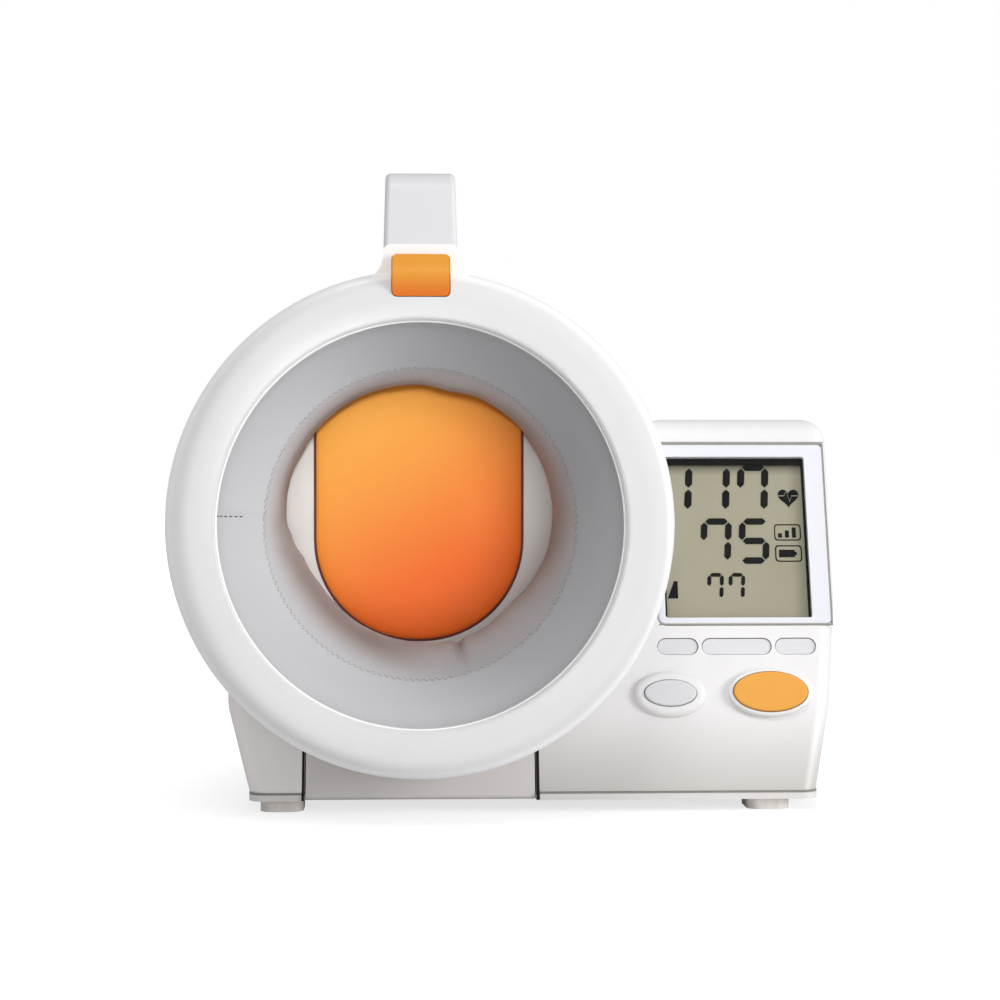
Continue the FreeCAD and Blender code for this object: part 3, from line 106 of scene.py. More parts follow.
class Nodes:
    """A material's node tree, with short calls that add and link nodes."""

    def __init__(self, name):
        self.material = bpy.data.materials.new(name)
        self.material.use_nodes = True
        self.tree = self.material.node_tree
        self.surface = self.tree.nodes["Principled BSDF"]
        self.place = self.add("ShaderNodeTexCoord").outputs["Object"]

    def add(self, kind, **settings):
        node = self.tree.nodes.new(kind)
        for key, value in settings.items():
            setattr(node, key, value)
        return node

    def link(self, out, into):
        self.tree.links.new(out, into)

    def set(self, **values):
        for key, value in values.items():
            self.surface.inputs[key.replace("_", " ")].default_value = value

    def noise(self, scale, detail=2.0, rough=0.5, stretch=None):
        node = self.add("ShaderNodeTexNoise")
        node.inputs["Scale"].default_value = scale
        node.inputs["Detail"].default_value = detail
        node.inputs["Roughness"].default_value = rough
        self.link(self.stretched(stretch), node.inputs["Vector"])
        return node.outputs["Fac"]

    def stretched(self, stretch):
        if stretch is None:
            return self.place
        node = self.add("ShaderNodeMapping")
        node.inputs["Scale"].default_value = stretch
        self.link(self.place, node.inputs["Vector"])
        return node.outputs["Vector"]

    def ramp(self, factor, *stops):
        """Colours along factor: stops of (place, colour)."""
        node = self.add("ShaderNodeValToRGB")
        ramp = node.color_ramp
        while len(ramp.elements) < len(stops):
            ramp.elements.new(0.5)
        for element, (place, colour) in zip(ramp.elements, stops):
            element.position = place
            element.color = (*colour, 1)
        self.link(factor, node.inputs["Fac"])
        return node.outputs["Color"]

    def span(self, factor, low, high):
        """factor from 0 to 1 carried to low to high."""
        node = self.add("ShaderNodeMapRange")
        node.inputs["To Min"].default_value = low
        node.inputs["To Max"].default_value = high
        self.link(factor, node.inputs["Value"])
        return node.outputs["Result"]

    def feed(self, socket, value):
        """Links another node's output to a socket, or sets the socket to a plain value."""
        if isinstance(value, bpy.types.NodeSocket):
            self.link(value, socket)
        elif value is not None:
            socket.default_value = value

    def maths(self, operation, first, second=None):
        node = self.add("ShaderNodeMath", operation=operation)
        self.feed(node.inputs[0], first)
        self.feed(node.inputs[1], second)
        return node.outputs["Value"]

    def vector(self, operation, first, second=None):
        """A vector operation. Its result is a number for a dot product or a length, else a vector."""
        node = self.add("ShaderNodeVectorMath", operation=operation)
        self.feed(node.inputs[0], first)
        self.feed(node.inputs[1], second)
        return node.outputs["Value" if operation in ("DOT_PRODUCT", "LENGTH") else "Vector"]

    def eased(self, value, start, end, most=1.0):
        """0 to most, eased, as value passes from start to end."""
        node = self.add("ShaderNodeMapRange", interpolation_type="SMOOTHSTEP")
        for name, number in (("Value", value), ("From Min", start), ("From Max", end), ("To Max", most)):
            self.feed(node.inputs[name], number)
        return node.outputs["Result"]

    def along(self, direction, start, end):
        """0 to 1, eased, as the object's points pass from start to end along a direction."""
        return self.eased(self.vector("DOT_PRODUCT", self.place, direction), start, end)

    def outward(self, start, end):
        """0 to 1, eased, as the object's points pass from start to end away from the tube's axis."""
        away = self.vector("SUBTRACT", self.place, (AXIS_X, 0, AXIS_Z))
        return self.eased(self.vector("LENGTH", self.vector("MULTIPLY", away, (1, 0, 1))), start, end)

    def mixed(self, factor, first, second):
        """A mix of two colours, each a tuple or another node's output."""
        node = self.add("ShaderNodeMix", data_type="RGBA")
        self.link(factor, node.inputs["Factor"])
        for socket, value in ((node.inputs["A"], first), (node.inputs["B"], second)):
            self.feed(socket, (*value, 1) if isinstance(value, tuple) else value)
        return node.outputs["Result"]

    def bump(self, height, depth, strength, below=None):
        node = self.add("ShaderNodeBump")
        node.inputs["Strength"].default_value = strength
        node.inputs["Distance"].default_value = depth
        self.link(height, node.inputs["Height"])
        if below is not None:
            self.link(below, node.inputs["Normal"])
        self.link(node.outputs["Normal"], self.surface.inputs["Normal"])
        return node.outputs["Normal"]

    def flattened(self, normal, face):
        """Shades a crowned face as nearly flat: the normal leans to the face's own direction."""
        turned = self.add("ShaderNodeVectorTransform", vector_type="NORMAL",
                          convert_from="OBJECT", convert_to="WORLD")
        turned.inputs["Vector"].default_value = face
        ahead = turned.outputs["Vector"]
        amount = self.eased(self.vector("DOT_PRODUCT", normal, ahead), *FLAT_TURN, FLAT_SHARE)
        leaned = self.add("ShaderNodeMix", data_type="VECTOR")
        self.link(amount, leaned.inputs["Factor"])
        self.link(normal, leaned.inputs[4])
        self.link(ahead, leaned.inputs[5])
        self.link(self.vector("NORMALIZE", leaned.outputs[1]), self.surface.inputs["Normal"])


def shade(colour, factor):
    """A darker or paler colour."""
    return tuple(min(1.0, c * factor) for c in colour)


def painted_low_shade(colour, start, end):
    """Painted shade: a part darker towards its foot, between two heights."""
    return lambda m, plain: m.mixed(m.along(UP, start, end), colour, plain)


def painted_seam_shadow(colour, start, end):
    """Painted shadow: a darker line along a part's top edge, where it meets the part above."""
    return lambda m, plain: m.mixed(m.along(UP, start, end), plain, colour)


def painted_rim_light(colour, start, end):
    """Painted light: the ring paler towards its rim, between two radii."""
    return lambda m, plain: m.mixed(m.outward(start, end), plain, colour)


def moulded(name, colour, rough, grain=0.00001, shine=0.5, sheen=0.0, painted_shading=None, face=None):
    """Moulded plastic: a spark-eroded grain, slow colour drift, polished spots and paler worn edges."""
    m = Nodes(name)
    drift = m.ramp(m.noise(17, 3), (0.3, shade(colour, 1 - DRIFT)), (0.7, shade(colour, 1 + DRIFT / 2)))
    edge = m.add("ShaderNodeNewGeometry").outputs["Pointiness"]
    worn = m.ramp(edge, (WORN_SHARPNESS[0], (0, 0, 0)), (WORN_SHARPNESS[1], (1, 1, 1)))
    plain = m.mixed(m.maths("MULTIPLY", worn, WORN_SHARE), drift, shade(colour, WORN_SHADE))
    # Where painted_shading is given, it paints light or shade over the plain colour.
    m.link(painted_shading(m, plain) if painted_shading else plain, m.surface.inputs["Base Color"])
    m.link(m.span(m.noise(55, 4, 0.6), rough - 0.05, rough + 0.06), m.surface.inputs["Roughness"])
    normal = m.bump(m.noise(GRAIN_SCALE, 1), grain, 0.5)
    if face is not None:
        m.flattened(normal, face)
    m.set(Specular_IOR_Level=shine, IOR=1.5, Sheen_Weight=sheen, Sheen_Roughness=0.5)
    return m.material


def rubbery(name, colour, rough=0.62, grain_scale=1500):
    """Rubber, or thread: a dull speck and a rough grain."""
    m = Nodes(name)
    speck = m.ramp(m.noise(420, 4, 0.7), (0.35, shade(colour, 0.93)), (0.65, shade(colour, 1.05)))
    m.link(speck, m.surface.inputs["Base Color"])
    m.link(m.span(m.noise(90, 2), rough - 0.06, rough + 0.08), m.surface.inputs["Roughness"])
    m.bump(m.noise(grain_scale, 3, 0.6), 0.00003, 0.6)
    return m.material


def metal(name, colour):
    """Plated steel with drawn lines along its length."""
    m = Nodes(name)
    lines = m.noise(300, 3, 0.6, stretch=(0.1, 6, 6))
    m.link(m.ramp(lines, (0.3, shade(colour, 0.85)), (0.7, colour)), m.surface.inputs["Base Color"])
    m.link(m.span(lines, 0.20, 0.38), m.surface.inputs["Roughness"])
    m.bump(lines, 0.00001, 0.4)
    m.set(Metallic=1.0)
    return m.material


def soft_knit(name, colour):
    """Fine warp-knit cloth: crossed ribs, loose fibres and a light sheen, with painted light that pales it to
    the low left, and painted brown shade and orange reflection deep in the low left.
    """
    m = Nodes(name)
    knit = m.add("ShaderNodeAttribute", attribute_name="knit").outputs["Vector"]
    split = m.add("ShaderNodeSeparateXYZ")
    m.link(knit, split.inputs["Vector"])
    ribs = []
    for axis in ("X", "Y"):
        wave = m.maths("SINE", m.maths("MULTIPLY", split.outputs[axis], 2 * math.pi / KNIT_PITCH))
        ribs.append(m.span(wave, 0.25, 0.75))
    weave = m.maths("MULTIPLY", ribs[0], ribs[1])
    fibres = m.noise(2600, 4, 0.7)
    height = m.maths("ADD", weave, m.maths("MULTIPLY", fibres, 0.45))
    blotch = m.noise(38, 3, 0.6)
    shadow = m.ramp(height, (0.25, shade(colour, 0.95)), (0.75, shade(colour, 1.03)))
    even = m.mixed(m.span(blotch, 0.0, 0.5), shadow, shade(colour, 1.04))
    inward = Vector((0, 1, 0))
    depth = m.maths("MULTIPLY", m.along(inward, *(RING_Y + reach for reach in PAINTED_SHADE_COMES)),
                    m.along(-inward, *(-RING_Y - reach for reach in PAINTED_SHADE_GOES[::-1])))
    low_left = Vector((-0.707, 0, -0.707))
    middle = low_left.dot(Vector((AXIS_X, 0, AXIS_Z)))
    painted_light_mask = m.span(m.along(low_left, middle - PAINTED_LIGHT_REACH, middle + PAINTED_LIGHT_REACH), 0.0, PAINTED_LIGHT_MOST)
    lit_knit = m.mixed(painted_light_mask, even, shade(colour, PAINTED_LIGHT_GAIN))
    painted_shade_mask = m.maths("MULTIPLY", depth, m.along(low_left, *(middle + reach for reach in PAINTED_SHADE_LOW)))
    painted_shade_colour = tuple(c * t for c, t in zip(colour, PAINTED_SHADE_TINT))
    m.link(m.mixed(painted_shade_mask, lit_knit, painted_shade_colour), m.surface.inputs["Base Color"])
    m.link(m.span(fibres, 0.78, 0.95), m.surface.inputs["Roughness"])
    first = m.bump(height, 0.00004, 0.4)
    m.bump(m.noise(210, 3, 0.55), 0.00025, 0.35, below=first)
    m.set(Sheen_Weight=0.25, Sheen_Roughness=0.45)
    return m.material


def skin_foam(name, pale, deep):
    """Firm foam under a smooth skin: a very fine leather grain, and painted light across the pad, paler at
    the upper left and darker at the lower right.
    """
    m = Nodes(name)
    low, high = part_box("elbow_pad")
    slope = PAD_SLOPE.normalized()
    middle = slope.dot((low + high) / 2)
    painted_shading = m.along(slope, *(middle + reach for reach in PAD_PAINTED_REACH))
    drift = m.maths("ADD", painted_shading, m.span(m.noise(22, 3), -0.12, 0.12))
    m.link(m.ramp(drift, (0.0, pale), (1.0, deep)), m.surface.inputs["Base Color"])
    cells = m.add("ShaderNodeTexVoronoi", feature="DISTANCE_TO_EDGE")
    cells.inputs["Scale"].default_value = 900
    m.link(m.place, cells.inputs["Vector"])
    m.link(m.span(m.noise(70, 3), 0.5, 0.62), m.surface.inputs["Roughness"])
    m.bump(cells.outputs["Distance"], 0.00002, 0.35)
    m.set(Specular_IOR_Level=0.15)
    return m.material


def reflective_lcd(name, colour):
    """The cell's olive ground: slow unevenness, a faint grain, and the frame's shade along its top."""
    m = Nodes(name)
    slow = m.ramp(m.noise(24, 2), (0.3, shade(colour, 0.96)), (0.7, shade(colour, 1.03)))
    up = PANEL.col[1].xyz
    top = up.dot(PANEL.translation) + LCD_TOP
    shaded = m.along(up, top - 7 * MM, top)
    m.link(m.mixed(shaded, slow, shade(colour, 0.12)), m.surface.inputs["Base Color"])
    m.bump(m.noise(5200, 1), 0.000008, 0.4)
    m.set(Roughness=0.5, Specular_IOR_Level=0.2)
    return m.material


def lcd_ink(name):
    """The cell's dark segments, dull, with a faint unevenness."""
    m = Nodes(name)
    m.link(m.ramp(m.noise(60, 2), (0.3, (0.006, 0.006, 0.006)), (0.7, (0.012, 0.012, 0.011))),
           m.surface.inputs["Base Color"])
    m.set(Roughness=0.6, Specular_IOR_Level=0.1)
    return m.material


def clear_window(name):
    """A clear pane, faintly smeared."""
    m = Nodes(name)
    m.link(m.span(m.noise(140, 4, 0.7), 0.03, 0.09), m.surface.inputs["Roughness"])
    m.set(Base_Color=(0.04, 0.045, 0.045, 1), Alpha=0.05, IOR=1.49, Specular_IOR_Level=0.3)
    return m.material


def circuit(name, colour):
    """Green solder mask over faint copper tracks."""
    m = Nodes(name)
    tracks = m.add("ShaderNodeTexBrick")
    tracks.inputs["Scale"].default_value = 150
    tracks.inputs["Mortar Size"].default_value = 0.03
    m.link(m.place, tracks.inputs["Vector"])
    m.link(m.mixed(tracks.outputs["Fac"], shade(colour, 1.5), colour), m.surface.inputs["Base Color"])
    m.bump(tracks.outputs["Fac"], 0.00003, 0.5)
    m.set(Roughness=0.35)
    return m.material


WHITE = (0.82, 0.815, 0.83)
HANDLE_WHITE = (0.70, 0.70, 0.72)
ORANGE = (0.80, 0.325, 0.035)
ORANGE_PAINTED_SHADE = (0.76, 0.17, 0.008)
START_ORANGE = (0.82, 0.38, 0.07)
PAD_PAINTED_LIT = (0.93, 0.43, 0.068)
PAD_PAINTED_SHADE = (0.87, 0.158, 0.022)
FABRIC = (0.40, 0.398, 0.411)
LCD_OLIVE = (0.43, 0.405, 0.30)

white = moulded("white_plastic", WHITE, 0.34)
# The ring's white, with painted light that makes its rounded rim paler where it turns away from the lamps.
ring_white = moulded("ring_plastic", (0.78, 0.775, 0.785), 0.34, sheen=0.35, face=(0, -1, 0),
                     painted_shading=painted_rim_light((0.95, 0.945, 0.955), 78 * MM, 91 * MM))
# Paler than the ring: a painted highlight for the mouth's bead.
highlight_white = moulded("highlight_white", (0.95, 0.945, 0.95), 0.2, grain=0.000004)
# The base's white, with painted shade that darkens its front towards the foot.
base_white = moulded("base_white_plastic", (0.83, 0.82, 0.82), 0.38, grain=SATIN_GRAIN,
                     painted_shading=painted_low_shade((0.60, 0.575, 0.555), 6 * MM, 42 * MM))
# The bottom cover: a darker copy of the white plastic, painted shade low on the base, and a painted shadow
# line along its top.
shaded_cover_white = moulded("shaded_cover_plastic", (0.74, 0.71, 0.695), 0.4, grain=SATIN_GRAIN,
                      painted_shading=painted_seam_shadow((0.24, 0.235, 0.22), 6.5 * MM, 7.0 * MM))
# The left block: a paler copy of the white plastic, painted light on a block that sits in the ring's shade.
lit_block_white = moulded("lit_block_plastic", (0.92, 0.885, 0.875), 0.4, grain=SATIN_GRAIN)
# The neck's white, with painted shade low down, where it sits under the ring.
neck_white = moulded("neck_white_plastic", WHITE, 0.4, grain=SATIN_GRAIN,
                     painted_shading=painted_low_shade((0.70, 0.665, 0.65), 36 * MM, 56 * MM))
# The plates round the elbow pad and other parts: a darker copy of the white plastic, painted shade.
shaded_plate_white = moulded("shaded_plate_plastic", (0.65, 0.64, 0.62), 0.45, grain=0.00002)
handle_white = moulded("handle_plastic", HANDLE_WHITE, 0.42, grain=0.00002)
frame_white = moulded("frame_plastic", (0.80, 0.81, 0.86), 0.3)
key_grey = moulded("key_plastic", (0.72, 0.715, 0.74), 0.36)
button_low, button_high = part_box("open_button")
# The open button's orange, with painted shade: a deeper orange towards its foot.
orange = moulded("orange_plastic", ORANGE, 0.42, shine=0.25,
                 painted_shading=painted_low_shade(ORANGE_PAINTED_SHADE, button_low.z, button_low.z * 0.4 + button_high.z * 0.6))
start_orange = moulded("start_plastic", START_ORANGE, 0.42, shine=0.25)
black = moulded("black_plastic", (0.016, 0.016, 0.017), 0.4)
grip_grey = rubbery("grip_rubber", (0.5, 0.5, 0.52))
foot_grey = rubbery("foot_rubber", (0.86, 0.82, 0.78))
air_rubber = rubbery("air_rubber", (0.06, 0.06, 0.065))
mat_rubber = rubbery("mat_rubber", (0.4, 0.4, 0.42))
steel = metal("plated_steel", (0.62, 0.62, 0.63))
fabric = soft_knit("cuff_knit", FABRIC)
pad_skin = skin_foam("pad_skin", PAD_PAINTED_LIT, PAD_PAINTED_SHADE)
# A dark strip round the pad: painted shadow where the pad meets its plate.
pad_gap_shadow = rubbery("pad_gap_shadow_rubber", (0.16, 0.03, 0.02), 0.55)
lcd_ground = reflective_lcd("lcd_ground", LCD_OLIVE)
window_clear = clear_window("window_clear")
board_green = circuit("board_mask", (0.02, 0.12, 0.05))
cell_sleeve = moulded("cell_sleeve", (0.05, 0.06, 0.08), 0.25)
ink = lcd_ink("lcd_ink")
# Grey for the painted shade in the display frame's groove.
groove_shade_grey = rubbery("groove_shade_grey", (0.30, 0.295, 0.26), 0.7)
thread = rubbery("stitch_thread", (0.33, 0.33, 0.335), 0.8, 3000)
dark_thread = rubbery("seam_thread", (0.09, 0.085, 0.08), 0.85, 3000)

NODE_MATERIALS = {
    "front_ring": ring_white, "tube_upper_housing": white, "tube_lower_housing": neck_white,
    "rear_ring": white, "cuff_core": shaded_plate_white, "cuff_liner": fabric, "air_bladder": air_rubber,
    "handle_frame": handle_white, "handle_grip": grip_grey, "open_button": orange, "latch_bar": black,
    "latch_hook": shaded_plate_white, "latch_pin": steel, "elbow_rest_frame": shaded_plate_white, "elbow_pad": pad_skin,
    "elbow_rest_cover": white, "elbow_hinge_pin": steel, "cuff_hinge_shaft": steel,
    "base_bottom_cover": shaded_cover_white, "left_housing": lit_block_white, "right_housing": base_white,
    "display_bezel": frame_white, "display_window": window_clear, "lcd_panel": lcd_ground,
    "lcd_holder": black, "main_circuit_board": board_green, "key_membrane": mat_rubber,
    "pressure_sensor": black, "buzzer": black, "memory_key": key_grey, "user_key": key_grey,
    "clock_key": key_grey, "power_button": key_grey, "start_button": start_orange, "air_pump": steel,
    "exhaust_valve": black, "air_hose": air_rubber, "battery_holder": black, "batteries": cell_sleeve,
    "battery_contacts": steel, "battery_cover": base_white, "power_inlet": black, "rubber_feet": foot_grey,
    "case_screws": steel,
}


def dress_nodes():
    for name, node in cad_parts.items():
        node.data.materials.clear()
        node.data.materials.append(NODE_MATERIALS[name])


# ---------------------------------------------------------------- piece helpers

def piece(name, mesh, material, body):
    """A finished mesh as a piece that rides on a body."""
    obj = bpy.data.objects.new(name, mesh)
    bpy.context.scene.collection.objects.link(obj)
    mesh.materials.append(material)
    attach(obj, body)
    return obj


def mesh_from(name, build, smooth=True):
    """A mesh that build(bm) fills."""
    mesh = bpy.data.meshes.new(name)
    bm = bmesh.new()
    build(bm)
    bmesh.ops.recalc_face_normals(bm, faces=bm.faces)
    bm.to_mesh(mesh)
    bm.free()
    if smooth:
        mesh.shade_smooth()
    return mesh


def bridge(bm, rings, looped=False):
    """Faces between rings of points in their order, and from the last to the first when looped."""
    followers = rings[1:] + rings[:1] if looped else rings[1:]
    for first, second in zip(rings, followers):
        for n in range(len(first)):
            k = (n + 1) % len(first)
            bm.faces.new((first[n], first[k], second[k], second[n]))


def capped(bm, outlines):
    """Joins outlines of points into one skin, and closes its two ends."""
    rings = [[bm.verts.new(point) for point in outline] for outline in outlines]
    bridge(bm, rings)
    bm.faces.new(rings[0][::-1])
    bm.faces.new(rings[-1])


# ---------------------------------------------------------------- camera, light and floor

WORLD_STRENGTH = 0.46

# Soft lamps: (name, place from the ring's centre, size, power).
LAMPS = [
    ("side_light", (1.4, -0.75, 0.35), 0.7, 13.8), ("high_light", (-0.15, -0.85, 1.3), 0.7, 6.6),
    ("front_light", (0, -1.6, 0.08), 0.3, 2.1),
]

# The narrow lamp into the tube: place and target from the ring's centre, its cone's width at the target, size
# and power.
TUBE_LAMP = ((-0.005, -0.8, 0.05), (-0.01, 0.15, 0.004), 0.125, 0.02, 26)

# The floor's tone for the camera and for bounced light, and how its glow rises with distance from the middle.
FLOOR_SEEN, FLOOR_BOUNCE = (0.4, 0.4, 0.4), (0.75, 0.75, 0.75)
GLOW_REACH, GLOW_LEAST = (0.11, 0.28), 0.72
FLOOR_HALF = 6


def camera():
    """The camera before the ring, turned a little to the right and down."""
    data = bpy.data.cameras.new("camera")
    data.sensor_width = SENSOR
    data.lens = CAMERA_FOCUS_PIXELS / PICTURE_SIDE * SENSOR
    data.clip_start = 0.05
    obj = bpy.data.objects.new("camera", data)
    bpy.context.scene.collection.objects.link(obj)
    obj.location = (AXIS_X + CAMERA_ACROSS, RING_Y - CAMERA_DISTANCE, CAMERA_HEIGHT)
    obj.rotation_euler = (math.pi / 2 - CAMERA_PITCH, 0, -CAMERA_YAW)
    bpy.context.scene.camera = obj


def hang(name, data, place, target):
    """Puts a lamp at a place, turned to its target."""
    obj = bpy.data.objects.new(name, data)
    bpy.context.scene.collection.objects.link(obj)
    obj.location = place
    obj.rotation_euler = (target - place).to_track_quat("-Z", "Y").to_euler()


def area_light(name, place, target, size, power):
    data = bpy.data.lights.new(name, "AREA")
    data.shape = "DISK"
    data.size = size
    data.energy = power
    hang(name, data, place, target)


def spot_light(name, place, target, width, size, power):
    """A narrow lamp whose cone is width across at its target."""
    data = bpy.data.lights.new(name, "SPOT")
    data.spot_size = 2 * math.atan(width / 2 / (target - place).length)
    data.spot_blend = 0.5
    data.shadow_soft_size = size
    data.energy = power
    hang(name, data, place, target)


def world_light():
    """A faint even light, behind a background that the camera sees as plain white."""
    world = bpy.data.worlds.new("studio")
    bpy.context.scene.world = world
    world.use_nodes = True
    tree = world.node_tree
    soft = tree.nodes["Background"]
    soft.inputs["Color"].default_value = (1, 1, 1, 1)
    soft.inputs["Strength"].default_value = WORLD_STRENGTH
    seen = tree.nodes.new("ShaderNodeBackground")
    seen.inputs["Color"].default_value = (1, 1, 1, 1)
    rays = tree.nodes.new("ShaderNodeLightPath")
    mix = tree.nodes.new("ShaderNodeMixShader")
    tree.links.new(rays.outputs["Is Camera Ray"], mix.inputs["Fac"])
    tree.links.new(soft.outputs["Background"], mix.inputs[1])
    tree.links.new(seen.outputs["Background"], mix.inputs[2])
    tree.links.new(mix.outputs["Shader"], tree.nodes["World Output"].inputs["Surface"])


def floor():
    """A white floor: near the object it keeps a soft shadow, and further out it shows as plain white."""
    def square(bm):
        bmesh.ops.create_grid(bm, x_segments=1, y_segments=1, size=FLOOR_HALF)

    mesh = mesh_from("floor", square, smooth=False)
    obj = bpy.data.objects.new("floor", mesh)
    bpy.context.scene.collection.objects.link(obj)
    m = Nodes("floor_white")
    m.set(Roughness=0.9, Specular_IOR_Level=0.0, Emission_Color=(1, 1, 1, 1))
    glow = m.add("ShaderNodeMapRange")
    glow.inputs["From Min"].default_value, glow.inputs["From Max"].default_value = GLOW_REACH
    glow.inputs["To Min"].default_value = GLOW_LEAST
    m.link(m.vector("LENGTH", m.place), glow.inputs["Value"])
    seen = m.add("ShaderNodeLightPath").outputs["Is Camera Ray"]
    m.link(m.maths("MULTIPLY", glow.outputs["Result"], seen), m.surface.inputs["Emission Strength"])
    m.link(m.mixed(seen, FLOOR_BOUNCE, FLOOR_SEEN), m.surface.inputs["Base Color"])
    mesh.materials.append(m.material)


def studio():
    """Soft lights at the right, above and in front, and a narrow one into the tube."""
    world_light()
    centre = Vector((AXIS_X, RING_Y, AXIS_Z))
    for name, place, size, power in LAMPS:
        area_light(name, centre + Vector(place), centre, size, power)
    place, target, width, size, power = TUBE_LAMP
    spot_light("tube_light", centre + Vector(place), centre + Vector(target), width, size, power)


# ---------------------------------------------------------------- fabric cuff

FUNNEL_DEPTH = 27 * MM
STITCH_RADIUS = 55.5 * MM
SKIN = 1.4 * MM
CLOTH_LENGTH = 190 * MM

# The cloth's grid round and along, the share of the way at the stitched seam, and the joining seam's column.
AROUND, ALONG = 264, 74
SEAM_SHARE = 0.3
SEAM_ROW = round(SEAM_SHARE * ALONG)
SEAM_PLACE = AROUND // 2 - 2
SEAM_DEGREES = 360 * SEAM_PLACE / AROUND

# The sleeve's slack builds up and dies away over these shares of its length, down to REAR_SLACK of it.
SLACK_RISE, SLACK_FALL, REAR_SLACK = 0.34, 0.42, 0.35
SLACK_POWER = 1.3

# Creases, each (depth, width, lip height, lip's distance, lip's width) in mm and degrees: the pinched fold in
# the sleeve's foot and the joining seam at the left.
PINCH_DEGREES, PINCH = -72.5, (2.6, 1.5, 0.9, 4.0, 2.2)
JOINT = (0.55, 0.55, 0.25, 1.6, 1.0)

# The stitched seam: puckers round it, and the groove that the thread pulls in, with their widths as shares.
PUCKERS, PUCKER_DEPTH, PUCKER_WIDTH = 57, 0.14 * MM, 0.03
GROOVE_DEPTH, GROOVE_WIDTH = 0.45 * MM, 0.007

# The stitches: how many go round, the two rings' lean and shift, how far they face the front, and the length
# and radius of each thread.
STITCHES, STITCH_LEAN, STITCH_SHIFT = 150, 0.5, 0.35
STITCH_LIFT = Vector((0, -0.6, 0))
STITCH_SIZE, JOINT_STITCH_SIZE = (1.15 * MM, 0.19 * MM), (1.7 * MM, 0.26 * MM)

# The bead round the mouth, glossy and paler than the ring: a painted highlight along the lip.
BEAD_STEPS, BEAD_DEPTH, BEAD_RADIUS = 180, 3.1 * MM, 0.5 * MM

# The cloth simulation: the cloth's own settings, its frames, and the most that a point may move.
CLOTH = {
    "quality": 5, "mass": 0.15, "tension_stiffness": 18, "compression_stiffness": 18, "shear_stiffness": 8,
    "bending_stiffness": 4, "use_pressure": True, "uniform_pressure_force": 2.0,
}
CLOTH_FRAMES, CLOTH_REACH = 22, 3.0 * MM
JOINT_HOLD = 0.8

# How far the slack sleeve stands in from its circle, by degrees counter-clockwise seen from the front, in mm.
SAG = [
    (-180, 2.4), (-172, 4.8), (-160, 7.6), (-146, 8.8), (-132, 8.6), (-118, 8.0), (-100, 7.4), (-84, 6.4),
    (-72, 5.0), (-60, 5.6), (-43, 6.4), (-28, 4.6), (-12, 2.2), (5, 1.0), (40, 0.8), (62, 1.9), (77, 3.5),
    (92, 2.2), (120, 1.7), (145, 1.6), (165, 1.4),
]


def smooth(t):
    """0 to 1, eased at both ends."""
    return t * t * (3 - 2 * t)


def bell(away, width):
    """A smooth bump, 1 at its middle."""
    return math.exp(-(away / width) ** 2)


def turned_by(degrees):
    """An angle brought between -180 and 180 degrees."""
    return (degrees + 180) % 360 - 180


def crease(away, depth, width, lip, lip_away, lip_width):
    """A crease's cross-section: a hollow with a low lip on both sides."""
    return (depth * bell(away, width) - lip * bell(abs(away) - lip_away, lip_width)) * MM


def sag(degrees):
    """The sleeve's slack at an angle, eased between the listed ones."""
    places = SAG + [(SAG[0][0] + 360, SAG[0][1])]
    for (a, low), (b, high) in zip(places, places[1:]):
        if a <= degrees <= b:
            t = (degrees - a) / (b - a)
            return (low + (high - low) * smooth(t)) * MM
    return SAG[0][1] * MM


# The cloth's way from the mouth to the rear end: share of the way, radius and depth behind the ring's face.
PROFILE = [
    (0.00, MOUTH_RADIUS - 0.3 * MM, 3.4 * MM), (0.04, MOUTH_RADIUS - 0.9 * MM, 6.4 * MM),
    (0.15, 63.8 * MM, 14.0 * MM), (0.26, 57.6 * MM, 23.4 * MM), (SEAM_SHARE, STITCH_RADIUS, FUNNEL_DEPTH),
    (0.36, 55.1 * MM, 37 * MM), (0.52, 55.0 * MM, 63 * MM), (0.78, 55.0 * MM, 106 * MM),
    (0.95, 55.2 * MM, 138 * MM), (1.00, 55.6 * MM, LINER_END_Y - RING_Y),
]


def profile(share):
    """The way's radius and depth at a share of it."""
    for (a, r1, y1), (b, r2, y2) in zip(PROFILE, PROFILE[1:]):
        if share <= b:
            t = (share - a) / (b - a)
            return r1 + (r2 - r1) * t, y1 + (y2 - y1) * t
    return PROFILE[-1][1], PROFILE[-1][2]


def soft_profile(share):
    """The way with its corners eased, all but the seam."""
    reach = min(0.03, abs(share - SEAM_SHARE) * 0.9, share, 1 - share)
    samples = [profile(share + reach * k / 3) for k in range(-3, 4)]
    return sum(s[0] for s in samples) / 7, sum(s[1] for s in samples) / 7


def cuff_point(turn, share):
    """A point of the cloth's shown side before it settles: turn from 0 to 1 from the right, upwards."""
    degrees = turned_by(360 * turn)
    radius, depth = soft_profile(share)
    if share > SEAM_SHARE:
        back = (share - SEAM_SHARE) / (1 - SEAM_SHARE)
        rise = min(1.0, back / SLACK_RISE)
        fall = min(1.0, (1 - back) / SLACK_FALL)
        loose = math.sin(rise * math.pi / 2) ** SLACK_POWER * (REAR_SLACK + (1 - REAR_SLACK) * smooth(fall))
        radius += (crease(turned_by(degrees - PINCH_DEGREES), *PINCH) - sag(degrees)) * loose
    elif share < SEAM_SHARE:
        radius += crease(turned_by(degrees - SEAM_DEGREES), *JOINT)
    near = bell(share - SEAM_SHARE, PUCKER_WIDTH)
    radius += PUCKER_DEPTH * math.sin(turn * 2 * math.pi * PUCKERS) * near
    radius += GROOVE_DEPTH * bell(share - SEAM_SHARE, GROOVE_WIDTH)
    angle = 2 * math.pi * turn
    return Vector((AXIS_X + radius * math.cos(angle), RING_Y + depth, AXIS_Z + radius * math.sin(angle)))


